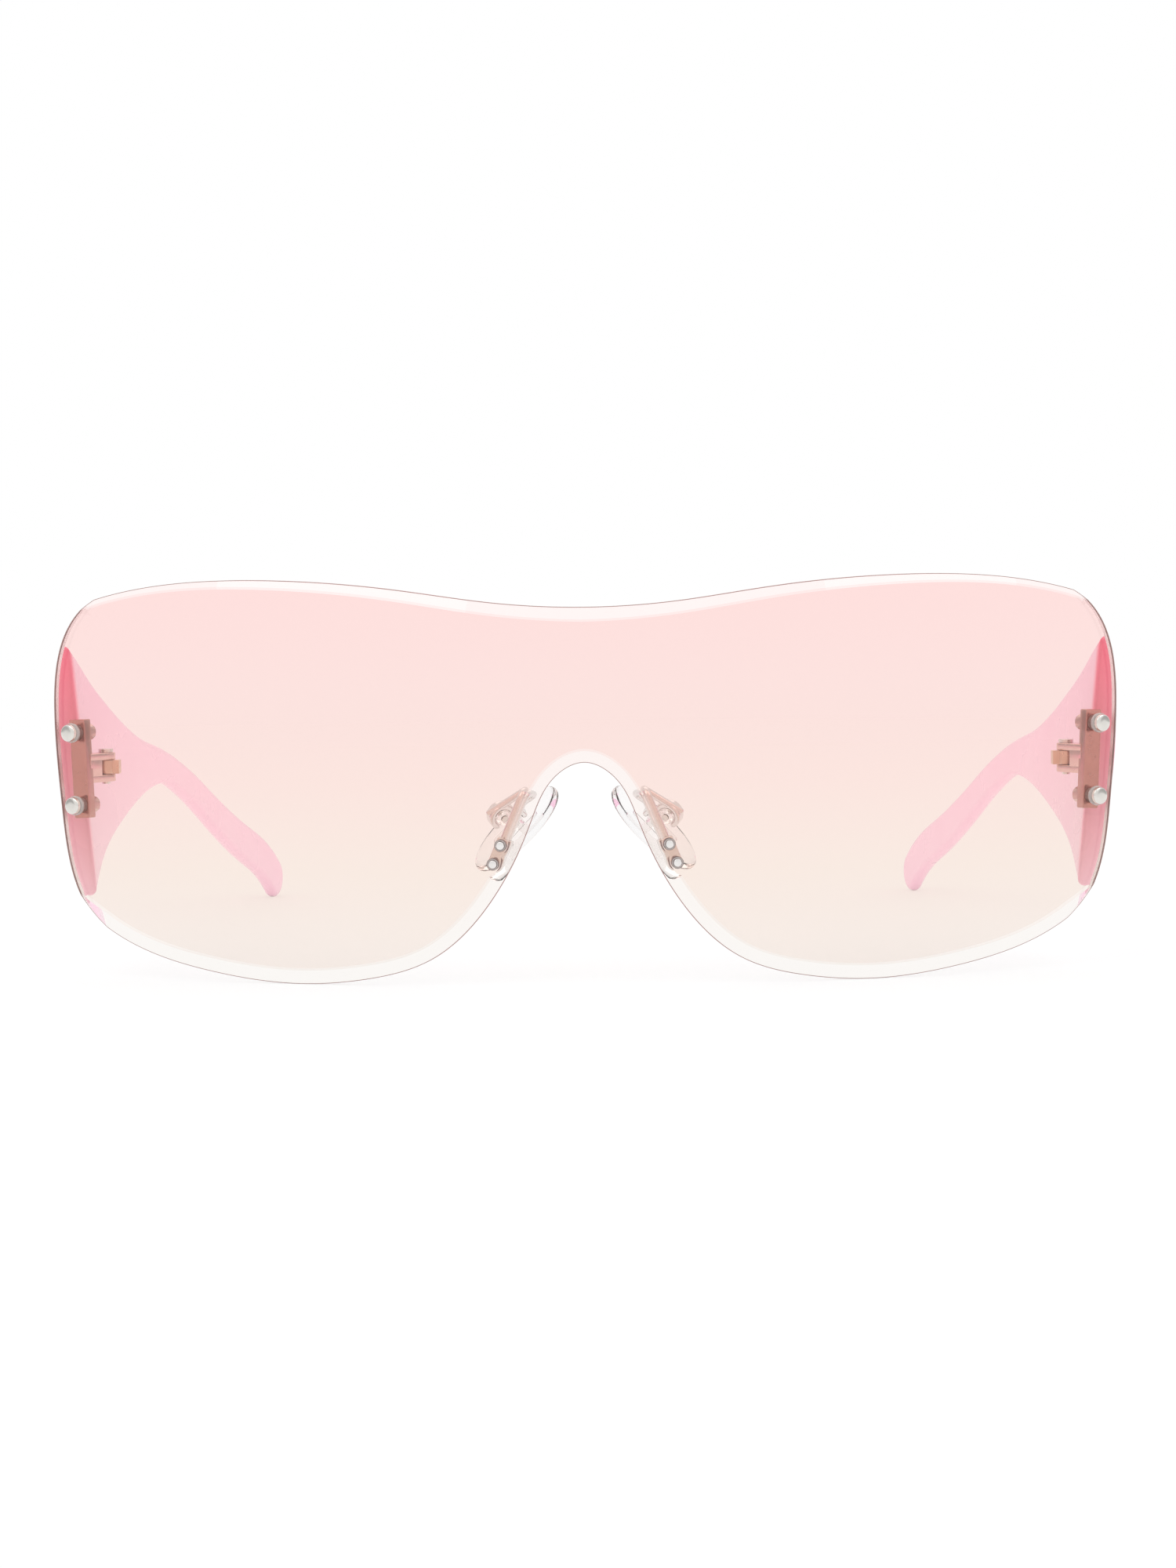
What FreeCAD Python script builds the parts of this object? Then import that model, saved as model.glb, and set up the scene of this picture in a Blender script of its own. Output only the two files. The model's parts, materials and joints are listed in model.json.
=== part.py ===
import FreeCAD, Part
import math
import os
import Sketcher
from types import SimpleNamespace
from FreeCAD import Placement, Rotation, Vector

document = FreeCAD.newDocument("shield_sunglasses")

# Driving sizes in millimetres, angles in degrees.
# X runs across the face, +Y runs back along the temples, Z is up from the table.
driving_sizes = {
    # Whole object
    "overall_depth": 150.8,
    "cut_overrun": 2.0,
    "seat_clearance": 0.02,
    "fit_clearance": 0.03,
    # Lens sheet, bent round a vertical axis
    "lens_width": 146.2,
    "lens_height": 54.35,
    "lens_radius": 130.0,
    "lens_thickness": 1.8,
    "notch_width": 42.0,
    "notch_height": 29.8,
    "top_facet_width": 1.95,
    "top_facet_end_width": 0.8,
    "bottom_facet_width": 2.1,
    "notch_facet_width": 1.8,
    "facet_angle": 25.0,
    # Bolted bracket at each end of the lens
    "hinge_height": 28.5,
    "bolt_inset": 2.9,
    "bolt_pitch": 10.0,
    "bracket_width": 2.6,
    "bracket_height": 13.6,
    "bracket_thickness": 1.4,
    "bracket_tilt_angle": 3.0,
    "bolt_diameter": 1.4,
    "bolt_head_diameter": 2.35,
    "bolt_head_height": 0.8,
    "bolt_head_round": 0.35,
    "bolt_end": 0.4,
    "bushing_flange_diameter": 2.7,
    "bushing_flange_thickness": 0.5,
    "bushing_wall": 0.3,
    "nut_across_flats": 2.2,
    "nut_thickness": 1.25,
    # Three-knuckle hinge
    "hinge_reach": 4.3,
    "hinge_span": 4.0,
    "knuckle_radius": 1.3,
    "middle_knuckle_height": 1.9,
    "knuckle_play": 0.06,
    "knuckle_gap": 0.2,
    "hinge_pin_diameter": 1.1,
    "hinge_pin_clearance": 0.03,
    "hinge_head_diameter": 2.0,
    "hinge_head_height": 0.5,
    "hinge_slot_width": 0.3,
    "hinge_slot_depth": 0.25,
    "hinge_pin_end": 0.35,
    # Hinge leaf with its anchor inside the temple
    "leaf_web_width": 1.4,
    "leaf_tail_length": 1.95,
    "leaf_cover": 0.6,
    "leaf_anchor_thickness": 1.0,
    "leaf_anchor_length": 8.0,
    # Moulded temple
    "temple_inset": 4.0,
    "temple_gap": 1.2,
    "temple_front_height": 34.75,
    "temple_front_thickness": 4.1,
    "temple_front_edge": 1.95,
    "temple_cant_angle": 5.5,
    "temple_toe_angle": 6.0,
    "temple_bend_radius": 500.0,
    "arm_height": 4.9,
    "arm_thickness": 2.8,
    "arm_edge": 2.0,
    "tip_height": 6.4,
    # Nose plate with its two pins
    "stud_offset": 11.8,
    "stud_height": 17.6,
    "stud_pitch": 2.7,
    "stud_tilt_angle": 22.5,
    "stud_diameter": 1.1,
    "stud_proud": 0.25,
    "sleeve_wall": 0.2,
    "nose_plate_width": 1.65,
    "nose_plate_thickness": 1.0,
    "nose_plate_end": 0.9,
    # Pad arm wire and its open clip
    "arm_wire_diameter": 1.0,
    "arm_lift": 0.15,
    "arm_rise": 6.8,
    "arm_return": 3.4,
    "arm_bend_radius": 1.2,
    "clip_thickness": 0.8,
    "clip_width": 1.8,
    "clip_wrap_angle": 230.0,
    # Soft pad with its hard core
    "pad_offset": 9.2,
    "pad_setback": 7.5,
    "pad_centre_height": 20.5,
    "pad_lean_angle": 45.0,
    "pad_splay_angle": 33.0,
    "pad_length": 15.0,
    "pad_width": 7.2,
    "pad_crown": 1.5,
    "pad_back": 0.7,
    "insert_core_length": 7.0,
    "insert_core_width": 3.0,
    "insert_core_thickness": 0.7,
    "insert_post_length": 1.1,
    "barrel_radius": 1.05,
    "barrel_length": 2.2,
    "barrel_play": 0.05,
    "barrel_standoff": 2.6,
    "pad_pin_diameter": 0.9,
    "pad_pin_end": 0.15,
}


class Size:
    """A sheet value, or a sum of them, kept both as a formula and as a number."""

    def __init__(self, formula, number):
        self.formula = formula
        self.number = number

    def combined(self, sign, other, number):
        other_formula = other.formula if isinstance(other, Size) else str(other)
        return Size(f"({self.formula} {sign} {other_formula})", number)

    def __add__(self, other):
        return self.combined("+", other, self.number + float(other))

    def __sub__(self, other):
        return self.combined("-", other, self.number - float(other))

    def __mul__(self, other):
        return self.combined("*", other, self.number * float(other))

    def __truediv__(self, other):
        return self.combined("/", other, self.number / float(other))

    def __neg__(self):
        return Size(f"(-{self.formula})", -self.number)

    def __float__(self):
        return float(self.number)


def make_sheet(name, values):
    sheet = document.addObject("Spreadsheet::Sheet", name)
    for row, (alias, value) in enumerate(values.items(), start=1):
        sheet.set(f"A{row}", alias)
        sheet.set(f"B{row}", str(value))
        sheet.setAlias(f"B{row}", alias)
    document.recompute()
    sizes = {alias: Size(f"{name}.{alias}", float(sheet.get(alias))) for alias in values}
    return SimpleNamespace(**sizes)


size = make_sheet("sizes", driving_sizes)


def bind(item, name, value):
    setattr(item, name, float(value))
    item.setExpression(name, value.formula)


# Places worked out from the driving sizes
half_width = float(size.lens_width / 2)
lens_radius = float(size.lens_radius)
front_y = -float(size.overall_depth / 2)
back_y = float(size.overall_depth / 2)
lens_axis_y = front_y + lens_radius


def lens_frame(offset, height, depth):
    """Frame on the lens at a distance from its middle: +Y points into the lens, Z is up."""
    angle = math.asin(offset / lens_radius)
    radius = lens_radius - depth
    base = Vector(radius * math.sin(angle), lens_axis_y - radius * math.cos(angle), height)
    return Placement(base, Rotation(Vector(0, 0, 1), math.degrees(angle)))


bracket_depth = float(size.lens_thickness + size.seat_clearance)
bolt_offset = half_width - float(size.bolt_inset)
bracket_frame = lens_frame(bolt_offset, float(size.hinge_height), bracket_depth)
hinge_setback = float(size.bracket_thickness + size.hinge_reach)
hinge_point = bracket_frame.multVec(Vector(0, hinge_setback, 0))
lens_end_back = lens_frame(half_width, 0, float(size.lens_thickness)).Base
temple_front_y = lens_end_back.y + float(size.temple_gap)
temple_front_x = half_width - float(size.temple_inset)
toe = math.radians(float(size.temple_toe_angle))

# Distance from the hinge axis to the temple's flat inner face, square to that face
axis_ahead = hinge_point.y - temple_front_y
face_at_axis = temple_front_x - axis_ahead * math.tan(toe)
place = make_sheet("places", {"hinge_to_temple": (face_at_axis - hinge_point.x) * math.cos(toe)})


def add(kind, name):
    return document.addObject(kind, name)


finished = {}


def finish(item, label):
    item.Label = label
    finished[label] = item


def cylinder(name, radius, height, placement):
    item = add("Part::Cylinder", name)
    bind(item, "Radius", radius)
    bind(item, "Height", height)
    item.Placement = placement
    return item


def cut(name, base, tool):
    item = add("Part::Cut", name)
    item.Base = base
    item.Tool = tool
    return item


def group(kind, name, members):
    item = add(kind, name)
    if kind == "Part::Compound":
        item.Links = members
    else:
        item.Shapes = members
    return item


def mirrored(name, source, normal, base):
    item = add("Part::Mirroring", name)
    item.Source = source
    item.Normal = normal
    item.Base = base
    return item


def wire_feature(name, edges):
    item = add("Part::Feature", name)
    item.Shape = Part.Wire(edges) if len(edges) > 1 else edges[0]
    return item


def extrusion(name, base, direction, length, solid):
    item = add("Part::Extrusion", name)
    item.Base = base
    item.DirMode = "Custom"
    item.Dir = direction
    item.Solid = solid
    bind(item, "LengthFwd", length)
    return item


# Sketch helpers: every corner and radius is held by a dimension that reads the sheet
def sketch_on(body, name, role):
    sketch = body.newObject("Sketcher::SketchObject", name)
    plane = next(item for item in body.Origin.OriginFeatures if item.Role == role)
    sketch.AttachmentSupport = [(plane, "")]
    sketch.MapMode = "FlatFace"
    return sketch


def dimension(sketch, constraint, value):
    index = sketch.addConstraint(constraint)
    sketch.renameConstraint(index, f"dimension_{index}")
    sketch.setExpression(f"Constraints.dimension_{index}", value.formula)


def hold_point(sketch, geometry, point, across, along):
    for direction, axis, value in (("DistanceX", -2, across), ("DistanceY", -1, along)):
        if value == 0:
            sketch.addConstraint(Sketcher.Constraint("PointOnObject", geometry, point, axis))
        else:
            held = Sketcher.Constraint(direction, -1, 1, geometry, point, float(value))
            dimension(sketch, held, value)


def draw_polygon(sketch, corners):
    first = sketch.GeometryCount
    points = [Vector(float(across), float(along), 0) for across, along in corners]
    for start, end in zip(points, points[1:] + points[:1]):
        sketch.addGeometry(Part.LineSegment(start, end))
    for index, (across, along) in enumerate(corners):
        before = first + (index - 1) % len(corners)
        sketch.addConstraint(Sketcher.Constraint("Coincident", before, 2, first + index, 1))
        hold_point(sketch, first + index, 1, across, along)


def draw_rectangle(sketch, half_across, half_along):
    corners = ((half_across, half_along), (-half_across, half_along))
    draw_polygon(sketch, corners + ((-half_across, -half_along), (half_across, -half_along)))


def draw_circle(sketch, across, along, radius):
    centre = Vector(float(across), float(along), 0)
    index = sketch.addGeometry(Part.Circle(centre, Vector(0, 0, 1), float(radius)))
    dimension(sketch, Sketcher.Constraint("Radius", index, float(radius)), radius)
    hold_point(sketch, index, 3, across, along)


def pad_or_pocket(body, kind, sketch, length, side="One side", reverse=False):
    feature = body.newObject(kind, sketch.Name + "_" + kind.split("::")[1].lower())
    feature.Profile = sketch
    feature.SideType = side
    feature.Reversed = reverse
    bind(feature, "Length", length)
    document.recompute()
    return feature


def pad(body, sketch, length, side="One side", reverse=False):
    return pad_or_pocket(body, "PartDesign::Pad", sketch, length, side, reverse)


def pocket(body, sketch, length, side="One side", reverse=False):
    before = body.Shape.Volume
    feature = pad_or_pocket(body, "PartDesign::Pocket", sketch, length, side, reverse)
    if not body.Shape.Volume < before:
        raise ValueError(sketch.Name + " cuts nothing")
    return feature


# Lens outline seen from the front, as shares of half the lens width and of its height
top_corner_shares = (0.919, 0.953)
low_corner_shares = (0.908, 0.125)
top_bow_shares = ((0, 0.929), (0.171, 0.942), (0.342, 0.974), (0.602, 1.0), (0.814, 0.984))
top_edge_shares = top_bow_shares + (top_corner_shares,)
side_bow_shares = ((0.975, 0.868), (1.0, 0.662), (0.988, 0.432), (0.949, 0.197))
side_edge_shares = (top_corner_shares,) + side_bow_shares + (low_corner_shares,)
lobe_edge_shares = (low_corner_shares, (0.819, 0.066), (0.698, 0.024), (0.534, 0), (0.402, 0.015))
# Nose notch, as shares of half the notch width and of its height
notch_edge_shares = ((1.0, 0.114), (0.6, 0.383), (0.419, 0.607), (0.338, 0.745), (0.21, 0.919), (0, 1.0))


def front_points(shares, width, height):
    return [Vector(across * width, front_y, up * height) for across, up in shares]


def reflected(points):
    return [Vector(-point.x, point.y, point.z) for point in reversed(points)]


def curve_through(points):
    curve = Part.BSplineCurve()
    curve.interpolate(points)
    return curve


lens_height = float(size.lens_height)
top_half = front_points(top_edge_shares, half_width, lens_height)
side_half = front_points(side_edge_shares, half_width, lens_height)
lobe_half = front_points(lobe_edge_shares, half_width, lens_height)
notch_half = front_points(notch_edge_shares, float(size.notch_width / 2), float(size.notch_height))
bottom_half = lobe_half + notch_half
top_curve = curve_through(reflected(top_half)[:-1] + top_half)
side_curve = curve_through(side_half)
bottom_curve = curve_through(bottom_half + reflected(bottom_half)[1:])
opposite_curve = curve_through(reflected(side_half))


def facet_curve(curve, width_at, distance_share, beyond):
    """Line along a ground facet, at a share of its width in from the lens edge.

    The facet's slope is steady, so the line's depth under the lens front follows from
    its distance to the facet's inner rim. The ends run on straight past the corners.
    """
    stations = curve.discretize(Number=facet_stations)
    slope = math.tan(math.radians(float(size.facet_angle)))
    first, last = curve.FirstParameter, curve.LastParameter
    ends = [(first, stations[0], -beyond), (last, stations[-1], beyond)]
    inner = [(curve.parameter(point), point, 0) for point in stations[1:-1]]
    points = []
    for parameter, point, run_on in [ends[0]] + inner + [ends[1]]:
        along = curve.tangent(parameter)[0]
        inward = Vector(0, 1, 0).cross(along)
        width = width_at(point)
        place_on_edge = point + along * run_on + inward * (width * distance_share)
        radius = lens_radius - width * (1 - distance_share) * slope
        y = lens_axis_y - math.sqrt(radius ** 2 - place_on_edge.x ** 2)
        points.append(Vector(place_on_edge.x, y, place_on_edge.z))
    return curve_through(points)


# The cutter reaches past the facet's inner rim and past the lens edge by these shares of its width
facet_rim_share = 1.3
facet_edge_share = -0.5
facet_stations = 41


def facet_cutter(name, curve, width_at):
    beyond = float(size.cut_overrun * 2)
    rim = wire_feature(name + "_rim", [facet_curve(curve, width_at, facet_rim_share, beyond).toShape()])
    edge = wire_feature(name + "_edge", [facet_curve(curve, width_at, facet_edge_share, beyond).toShape()])
    surface = add("Part::RuledSurface", name + "_surface")
    surface.Curve1 = (rim, [""])
    surface.Curve2 = (edge, [""])
    return extrusion(name, surface, Vector(0, -1, 0), size.cut_overrun * 2, True)


def top_facet_width_at(point):
    aside = abs(point.x) / half_width
    return float(size.top_facet_width) * (1 - aside) + float(size.top_facet_end_width) * aside


def bottom_facet_width_at(point):
    rise = point.z / float(size.notch_height)
    return float(size.bottom_facet_width) * (1 - rise) + float(size.notch_facet_width) * rise


back_turn = Rotation(Vector(1, 0, 0), -90)


def along_frame(frame, start):
    """Placement of a round piece whose axis runs along the frame's +Y, from a start depth."""
    return frame.multiply(Placement(Vector(0, start, 0), back_turn))


def drilled_holes(name, places, radius):
    """Holes square to the lens, as cylinders that overrun both its faces."""
    length = size.lens_thickness + size.cut_overrun * 2
    start = -float(size.cut_overrun + size.lens_thickness + size.seat_clearance)
    holes = []
    for index, frame in enumerate(places):
        holes.append(cylinder(f"{name}_{index}", radius, length, along_frame(frame, start)))
    return holes


def raised(frame, height):
    return frame.multiply(Placement(Vector(0, 0, height), Rotation()))


bar_turn = Rotation(Vector(0, 1, 0), float(size.bracket_tilt_angle))
bar_frame = bracket_frame.multiply(Placement(Vector(0, 0, 0), bar_turn))
bolt_frames = [raised(bar_frame, sign * float(size.bolt_pitch / 2)) for sign in (1, -1)]
stud_tilt = Rotation(Vector(0, 1, 0), -float(size.stud_tilt_angle))
nose_frame = lens_frame(float(size.stud_offset), float(size.stud_height), bracket_depth)
nose_frame = nose_frame.multiply(Placement(Vector(0, 0, 0), stud_tilt))
stud_frames = [raised(nose_frame, sign * float(size.stud_pitch / 2)) for sign in (1, -1)]
bushing_radius = size.bolt_diameter / 2 + size.fit_clearance + size.bushing_wall
sleeve_radius = size.stud_diameter / 2 + size.fit_clearance + size.sleeve_wall


def build_lens():
    arc_start = lens_frame(half_width, 0, 0).Base
    reach = Vector(arc_start.x + float(size.cut_overrun), 0, 0)
    reach.y = lens_axis_y - math.sqrt(lens_radius ** 2 - reach.x ** 2)
    below = Vector(0, 0, -float(size.cut_overrun))
    arc = Part.Arc(Vector(-reach.x, reach.y, 0) + below, Vector(0, front_y, 0) + below, reach + below)
    bend = wire_feature("lens_bend", [arc.toShape()])
    sheet_height = size.lens_height + size.cut_overrun * 2
    bent_face = extrusion("lens_bent_face", bend, Vector(0, 0, 1), sheet_height, False)

    curves = (top_curve, side_curve, bottom_curve, opposite_curve)
    outline = wire_feature("lens_outline", [curve.toShape() for curve in curves])
    outline_prism = extrusion("lens_outline_prism", outline, Vector(0, 1, 0), size.lens_radius, True)
    skin = add("Part::MultiCommon", "lens_skin")
    skin.Shapes = [bent_face, outline_prism]
    document.recompute()

    # The edge stands square to the sheet, as a routed lens edge does
    blank = add("Part::Offset", "lens_blank")
    blank.Source = skin
    blank.Fill = True
    bind(blank, "Value", size.lens_thickness)
    document.recompute()

    facets = [
        facet_cutter("top_facet", top_curve, top_facet_width_at),
        facet_cutter("bottom_facet", bottom_curve, bottom_facet_width_at),
    ]
    holes = drilled_holes("bolt_hole", bolt_frames, bushing_radius + size.fit_clearance)
    holes += drilled_holes("stud_hole", stud_frames, sleeve_radius + size.fit_clearance)
    left_holes = group("Part::Compound", "left_lens_holes", holes)
    right_holes = mirrored("right_lens_holes", left_holes, Vector(1, 0, 0), Vector(0, 0, 0))
    faceted = blank
    for index, tool in enumerate(facets + [left_holes, right_holes]):
        faceted = cut(f"lens_cut_{index}", faceted, tool)
    finish(faceted, "shield_lens")


def build_bracket():
    body = add("PartDesign::Body", "bracket_body")
    hinge_y = size.bracket_thickness + size.hinge_reach
    half_bar = size.bracket_width / 2
    half_tall = size.bracket_height / 2

    # The bar leans outwards with the lens's end, the knuckles stand upright
    tilt = math.radians(float(size.bracket_tilt_angle))
    bar = sketch_on(body, "bracket_bar", "XZ_Plane")
    corners = []
    for side, end in ((1, 1), (-1, 1), (-1, -1), (1, -1)):
        across = half_bar * (side * math.cos(tilt)) + half_tall * (end * math.sin(tilt))
        along = half_tall * (end * math.cos(tilt)) - half_bar * (side * math.sin(tilt))
        corners.append((across, along))
    draw_polygon(bar, corners)
    pad(body, bar, size.bracket_thickness, reverse=True)

    # Two outer knuckles: a block as wide as the knuckle, rounded about the hinge axis
    fork = sketch_on(body, "bracket_fork", "XY_Plane")
    root = size.bracket_thickness / 2
    side = size.knuckle_radius
    draw_polygon(fork, ((side, root), (side, hinge_y), (-side, hinge_y), (-side, root)))
    pad(body, fork, size.hinge_span, side="Symmetric")
    knuckle = sketch_on(body, "bracket_knuckle", "XY_Plane")
    draw_circle(knuckle, 0, hinge_y, size.knuckle_radius)
    pad(body, knuckle, size.hinge_span, side="Symmetric")

    slot = sketch_on(body, "bracket_slot", "XY_Plane")
    slot_side = size.knuckle_radius + size.cut_overrun
    slot_root = hinge_y - size.leaf_tail_length - size.knuckle_gap * 2
    slot_end = hinge_y + size.knuckle_radius + size.cut_overrun
    corners = ((slot_side, slot_root), (slot_side, slot_end), (-slot_side, slot_end), (-slot_side, slot_root))
    draw_polygon(slot, corners)
    pocket(body, slot, size.middle_knuckle_height + size.knuckle_play * 2, side="Symmetric")

    bore = sketch_on(body, "bracket_pin_bore", "XY_Plane")
    draw_circle(bore, 0, hinge_y, size.hinge_pin_diameter / 2 + size.hinge_pin_clearance)
    pocket(body, bore, size.hinge_span + size.cut_overrun, side="Symmetric")

    for name, up in (("upper", size.bolt_pitch / 2), ("lower", -(size.bolt_pitch / 2))):
        hole = sketch_on(body, f"bracket_{name}_hole", "XZ_Plane")
        hole_radius = size.bolt_diameter / 2 + size.fit_clearance
        draw_circle(hole, up * math.sin(tilt), up * math.cos(tilt), hole_radius)
        pocket(body, hole, size.bracket_thickness + size.cut_overrun)
    body.Placement = bracket_frame
    return body


def front_edge(shape):
    """Name of the edge that lies furthest to the front."""
    index = min(range(len(shape.Edges)), key=lambda number: shape.Edges[number].CenterOfMass.y)
    return f"Edge{index + 1}"


def build_bolt_pair():
    """Round-headed bolt, standing from its head in front of the lens to its end behind the nut."""
    body = add("PartDesign::Body", "bolt_body")
    stack = size.bushing_flange_thickness + size.lens_thickness + size.seat_clearance
    stack = stack + size.bracket_thickness + size.nut_thickness + size.bolt_end
    head = sketch_on(body, "bolt_head", "XZ_Plane")
    draw_circle(head, 0, 0, size.bolt_head_diameter / 2)
    head_pad = pad(body, head, size.bolt_head_height)
    rounded = body.newObject("PartDesign::Fillet", "bolt_head_rounding")
    rounded.Base = (head_pad, [front_edge(head_pad.Shape)])
    bind(rounded, "Radius", size.bolt_head_round)
    document.recompute()
    shank = sketch_on(body, "bolt_shank", "XZ_Plane")
    draw_circle(shank, 0, 0, size.bolt_diameter / 2)
    pad(body, shank, stack, reverse=True)
    under_head = -float(size.seat_clearance + size.lens_thickness + size.bushing_flange_thickness)
    seat = Placement(Vector(0, under_head, 0), Rotation())
    body.Placement = bolt_frames[0].multiply(seat)
    return pair("bracket_bolts", body)


def pair(name, upper):
    """Two equal pieces, one at each bolt of the leaning bar."""
    along_bar = bar_frame.Rotation.multVec(Vector(0, 0, 1))
    lower = mirrored(name + "_lower", upper, along_bar, bar_frame.Base)
    return group("Part::Compound", name, [upper, lower])


def build_bushing_pair():
    flange_start = -float(size.seat_clearance + size.lens_thickness + size.bushing_flange_thickness)
    frame = bolt_frames[0]
    flange = cylinder(
        "bushing_flange", size.bushing_flange_diameter / 2, size.bushing_flange_thickness,
        along_frame(frame, flange_start),
    )
    sleeve = cylinder(
        "bushing_sleeve", bushing_radius, size.bushing_flange_thickness + size.lens_thickness,
        along_frame(frame, flange_start),
    )
    whole = group("Part::MultiFuse", "bushing_whole", [flange, sleeve])
    bore = cylinder(
        "bushing_bore", size.bolt_diameter / 2 + size.fit_clearance,
        size.bushing_flange_thickness + size.lens_thickness + size.cut_overrun * 2,
        along_frame(frame, flange_start - float(size.cut_overrun)),
    )
    return pair("bracket_bushings", cut("bushing", whole, bore))


def build_nut_pair():
    frame = bolt_frames[0]
    start = float(size.bracket_thickness)
    hexagon = add("Part::Prism", "nut_hexagon")
    hexagon.Polygon = 6
    bind(hexagon, "Circumradius", size.nut_across_flats / (2 * math.cos(math.pi / 6)))
    bind(hexagon, "Height", size.nut_thickness)
    hexagon.Placement = along_frame(frame, start)
    bore = cylinder(
        "nut_bore", size.bolt_diameter / 2 + size.fit_clearance, size.nut_thickness + size.cut_overrun * 2,
        along_frame(frame, start - float(size.cut_overrun)),
    )
    return pair("bracket_nuts", cut("nut", hexagon, bore))


def build_hinge_screw():
    half_span = float(size.hinge_span / 2)
    low = hinge_point - Vector(0, 0, half_span + float(size.hinge_pin_end))
    high = hinge_point + Vector(0, 0, half_span)
    pin_length = size.hinge_span + size.hinge_pin_end + size.hinge_head_height
    pin = cylinder("hinge_pin", size.hinge_pin_diameter / 2, pin_length, Placement(low, Rotation()))
    head_place = Placement(high, Rotation())
    head = cylinder("hinge_head", size.hinge_head_diameter / 2, size.hinge_head_height, head_place)
    whole = group("Part::MultiFuse", "hinge_screw_whole", [pin, head])
    slot = add("Part::Box", "hinge_slot")
    bind(slot, "Length", size.hinge_head_diameter + size.cut_overrun)
    bind(slot, "Width", size.hinge_slot_width)
    bind(slot, "Height", size.hinge_slot_depth + size.cut_overrun)
    slot_floor = float(size.hinge_head_height - size.hinge_slot_depth)
    corner = Vector(-float(slot.Length) / 2, -float(slot.Width) / 2, slot_floor)
    slot.Placement = Placement(high + corner, Rotation())
    return cut("hinge_screw", whole, slot)


def leaf_body(name, clearance):
    """Middle knuckle with a square tail and an L-shaped anchor; with a clearance, the pocket for them."""
    body = add("PartDesign::Body", name + "_body")
    half_web = size.leaf_web_width / 2 + clearance
    face = place.hinge_to_temple + size.leaf_cover - clearance
    deep = place.hinge_to_temple + size.leaf_cover + size.leaf_anchor_thickness + clearance
    end = size.leaf_anchor_length + clearance
    tall = size.middle_knuckle_height + clearance * 2
    anchor = sketch_on(body, name + "_anchor", "XY_Plane")
    tail = -size.leaf_tail_length
    corners = ((tail, half_web), (tail, -half_web), (deep, -half_web))
    draw_polygon(anchor, corners + ((deep, end), (face, end), (face, half_web)))
    pad(body, anchor, tall, side="Symmetric")
    knuckle = sketch_on(body, name + "_knuckle", "XY_Plane")
    draw_circle(knuckle, 0, 0, size.knuckle_radius)
    pad(body, knuckle, tall, side="Symmetric")
    bore = sketch_on(body, name + "_bore", "XY_Plane")
    draw_circle(bore, 0, 0, size.hinge_pin_diameter / 2 + size.hinge_pin_clearance)
    pocket(body, bore, tall + size.cut_overrun, side="Symmetric")
    body.Placement = Placement(hinge_point, Rotation(Vector(0, 0, 1), float(size.temple_toe_angle)))
    return body


# Stations along the temple, from its front end to its tip:
# distance along, mid height as a share of the hinge height, flare of the tall front, swell of the ear tip
temple_station_shares = (
    (0, 0.986, 1.0, 0),
    (0.031, 0.984, 0.863, 0),
    (0.068, 0.975, 0.703, 0),
    (0.129, 0.962, 0.509, 0),
    (0.19, 0.946, 0.357, 0),
    (0.255, 0.933, 0.221, 0),
    (0.319, 0.923, 0.115, 0),
    (0.391, 0.912, 0.04, 0),
    (0.455, 0.884, 0, 0),
    (0.519, 0.824, 0, 0.03),
    (0.599, 0.728, 0, 0.18),
    (0.687, 0.596, 0, 0.4),
    (0.767, 0.472, 0, 0.65),
    (0.847, 0.354, 0, 0.85),
    (0.919, 0.247, 0, 0.95),
)
temple_bend_share = 0.477
slope_start_share = 0.35


def temple_stations():
    length = back_y - temple_front_y
    tip_radius = float(size.tip_height / 2)
    rows = []
    for along, middle, flare, swell in temple_station_shares:
        rows.append((temple_front_y + along * length, middle * float(size.hinge_height), flare, swell))
    rows.append((back_y - tip_radius, tip_radius, 0, 1))
    return rows


def temple_plan(y):
    """Inner face of the temple seen from above: straight with toe-in, then a wide arc."""
    bend_y = temple_front_y + temple_bend_share * (back_y - temple_front_y)
    bend_x = temple_front_x - (bend_y - temple_front_y) * math.tan(toe)
    if y <= bend_y:
        return temple_front_x - (y - temple_front_y) * math.tan(toe), toe
    radius = float(size.temple_bend_radius)
    heading = math.asin((y - bend_y) / radius + math.sin(toe))
    return bend_x - radius * (math.cos(toe) - math.cos(heading)), heading


def temple_section(y, middle, flare, swell, pitch):
    """Flat inside, half-round edges and a domed outside, square to the temple's run."""
    x, heading = temple_plan(y)
    tall = float(size.arm_height)
    tall += flare * float(size.temple_front_height - size.arm_height)
    tall += swell * float(size.tip_height - size.arm_height)
    thick = float(size.arm_thickness) + flare * float(size.temple_front_thickness - size.arm_thickness)
    edge = float(size.arm_edge) + flare * float(size.temple_front_edge - size.arm_edge)
    cant = math.radians(float(size.temple_cant_angle)) * flare
    out = Vector(math.cos(heading), math.sin(heading), 0)
    level = Vector(-math.sin(heading), math.cos(heading), 0)
    upright = Vector(0, 0, math.cos(pitch)) + level * -math.sin(pitch)
    up = upright * math.cos(cant) + out * math.sin(cant)
    over = out * math.cos(cant) - upright * math.sin(cant)
    centre = Vector(x, y, middle)
    half = tall / 2
    straight = half - edge / 2

    def at(across, along):
        return centre + over * across + up * along

    return SimpleNamespace(
        centre=centre, over=over,
        inner_low=at(0, -straight), inner_high=at(0, straight),
        top=at(edge / 2, half), outer_high=at(edge, straight), outer=at(thick, 0),
        outer_low=at(edge, -straight), bottom=at(edge / 2, -half),
    )


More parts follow.
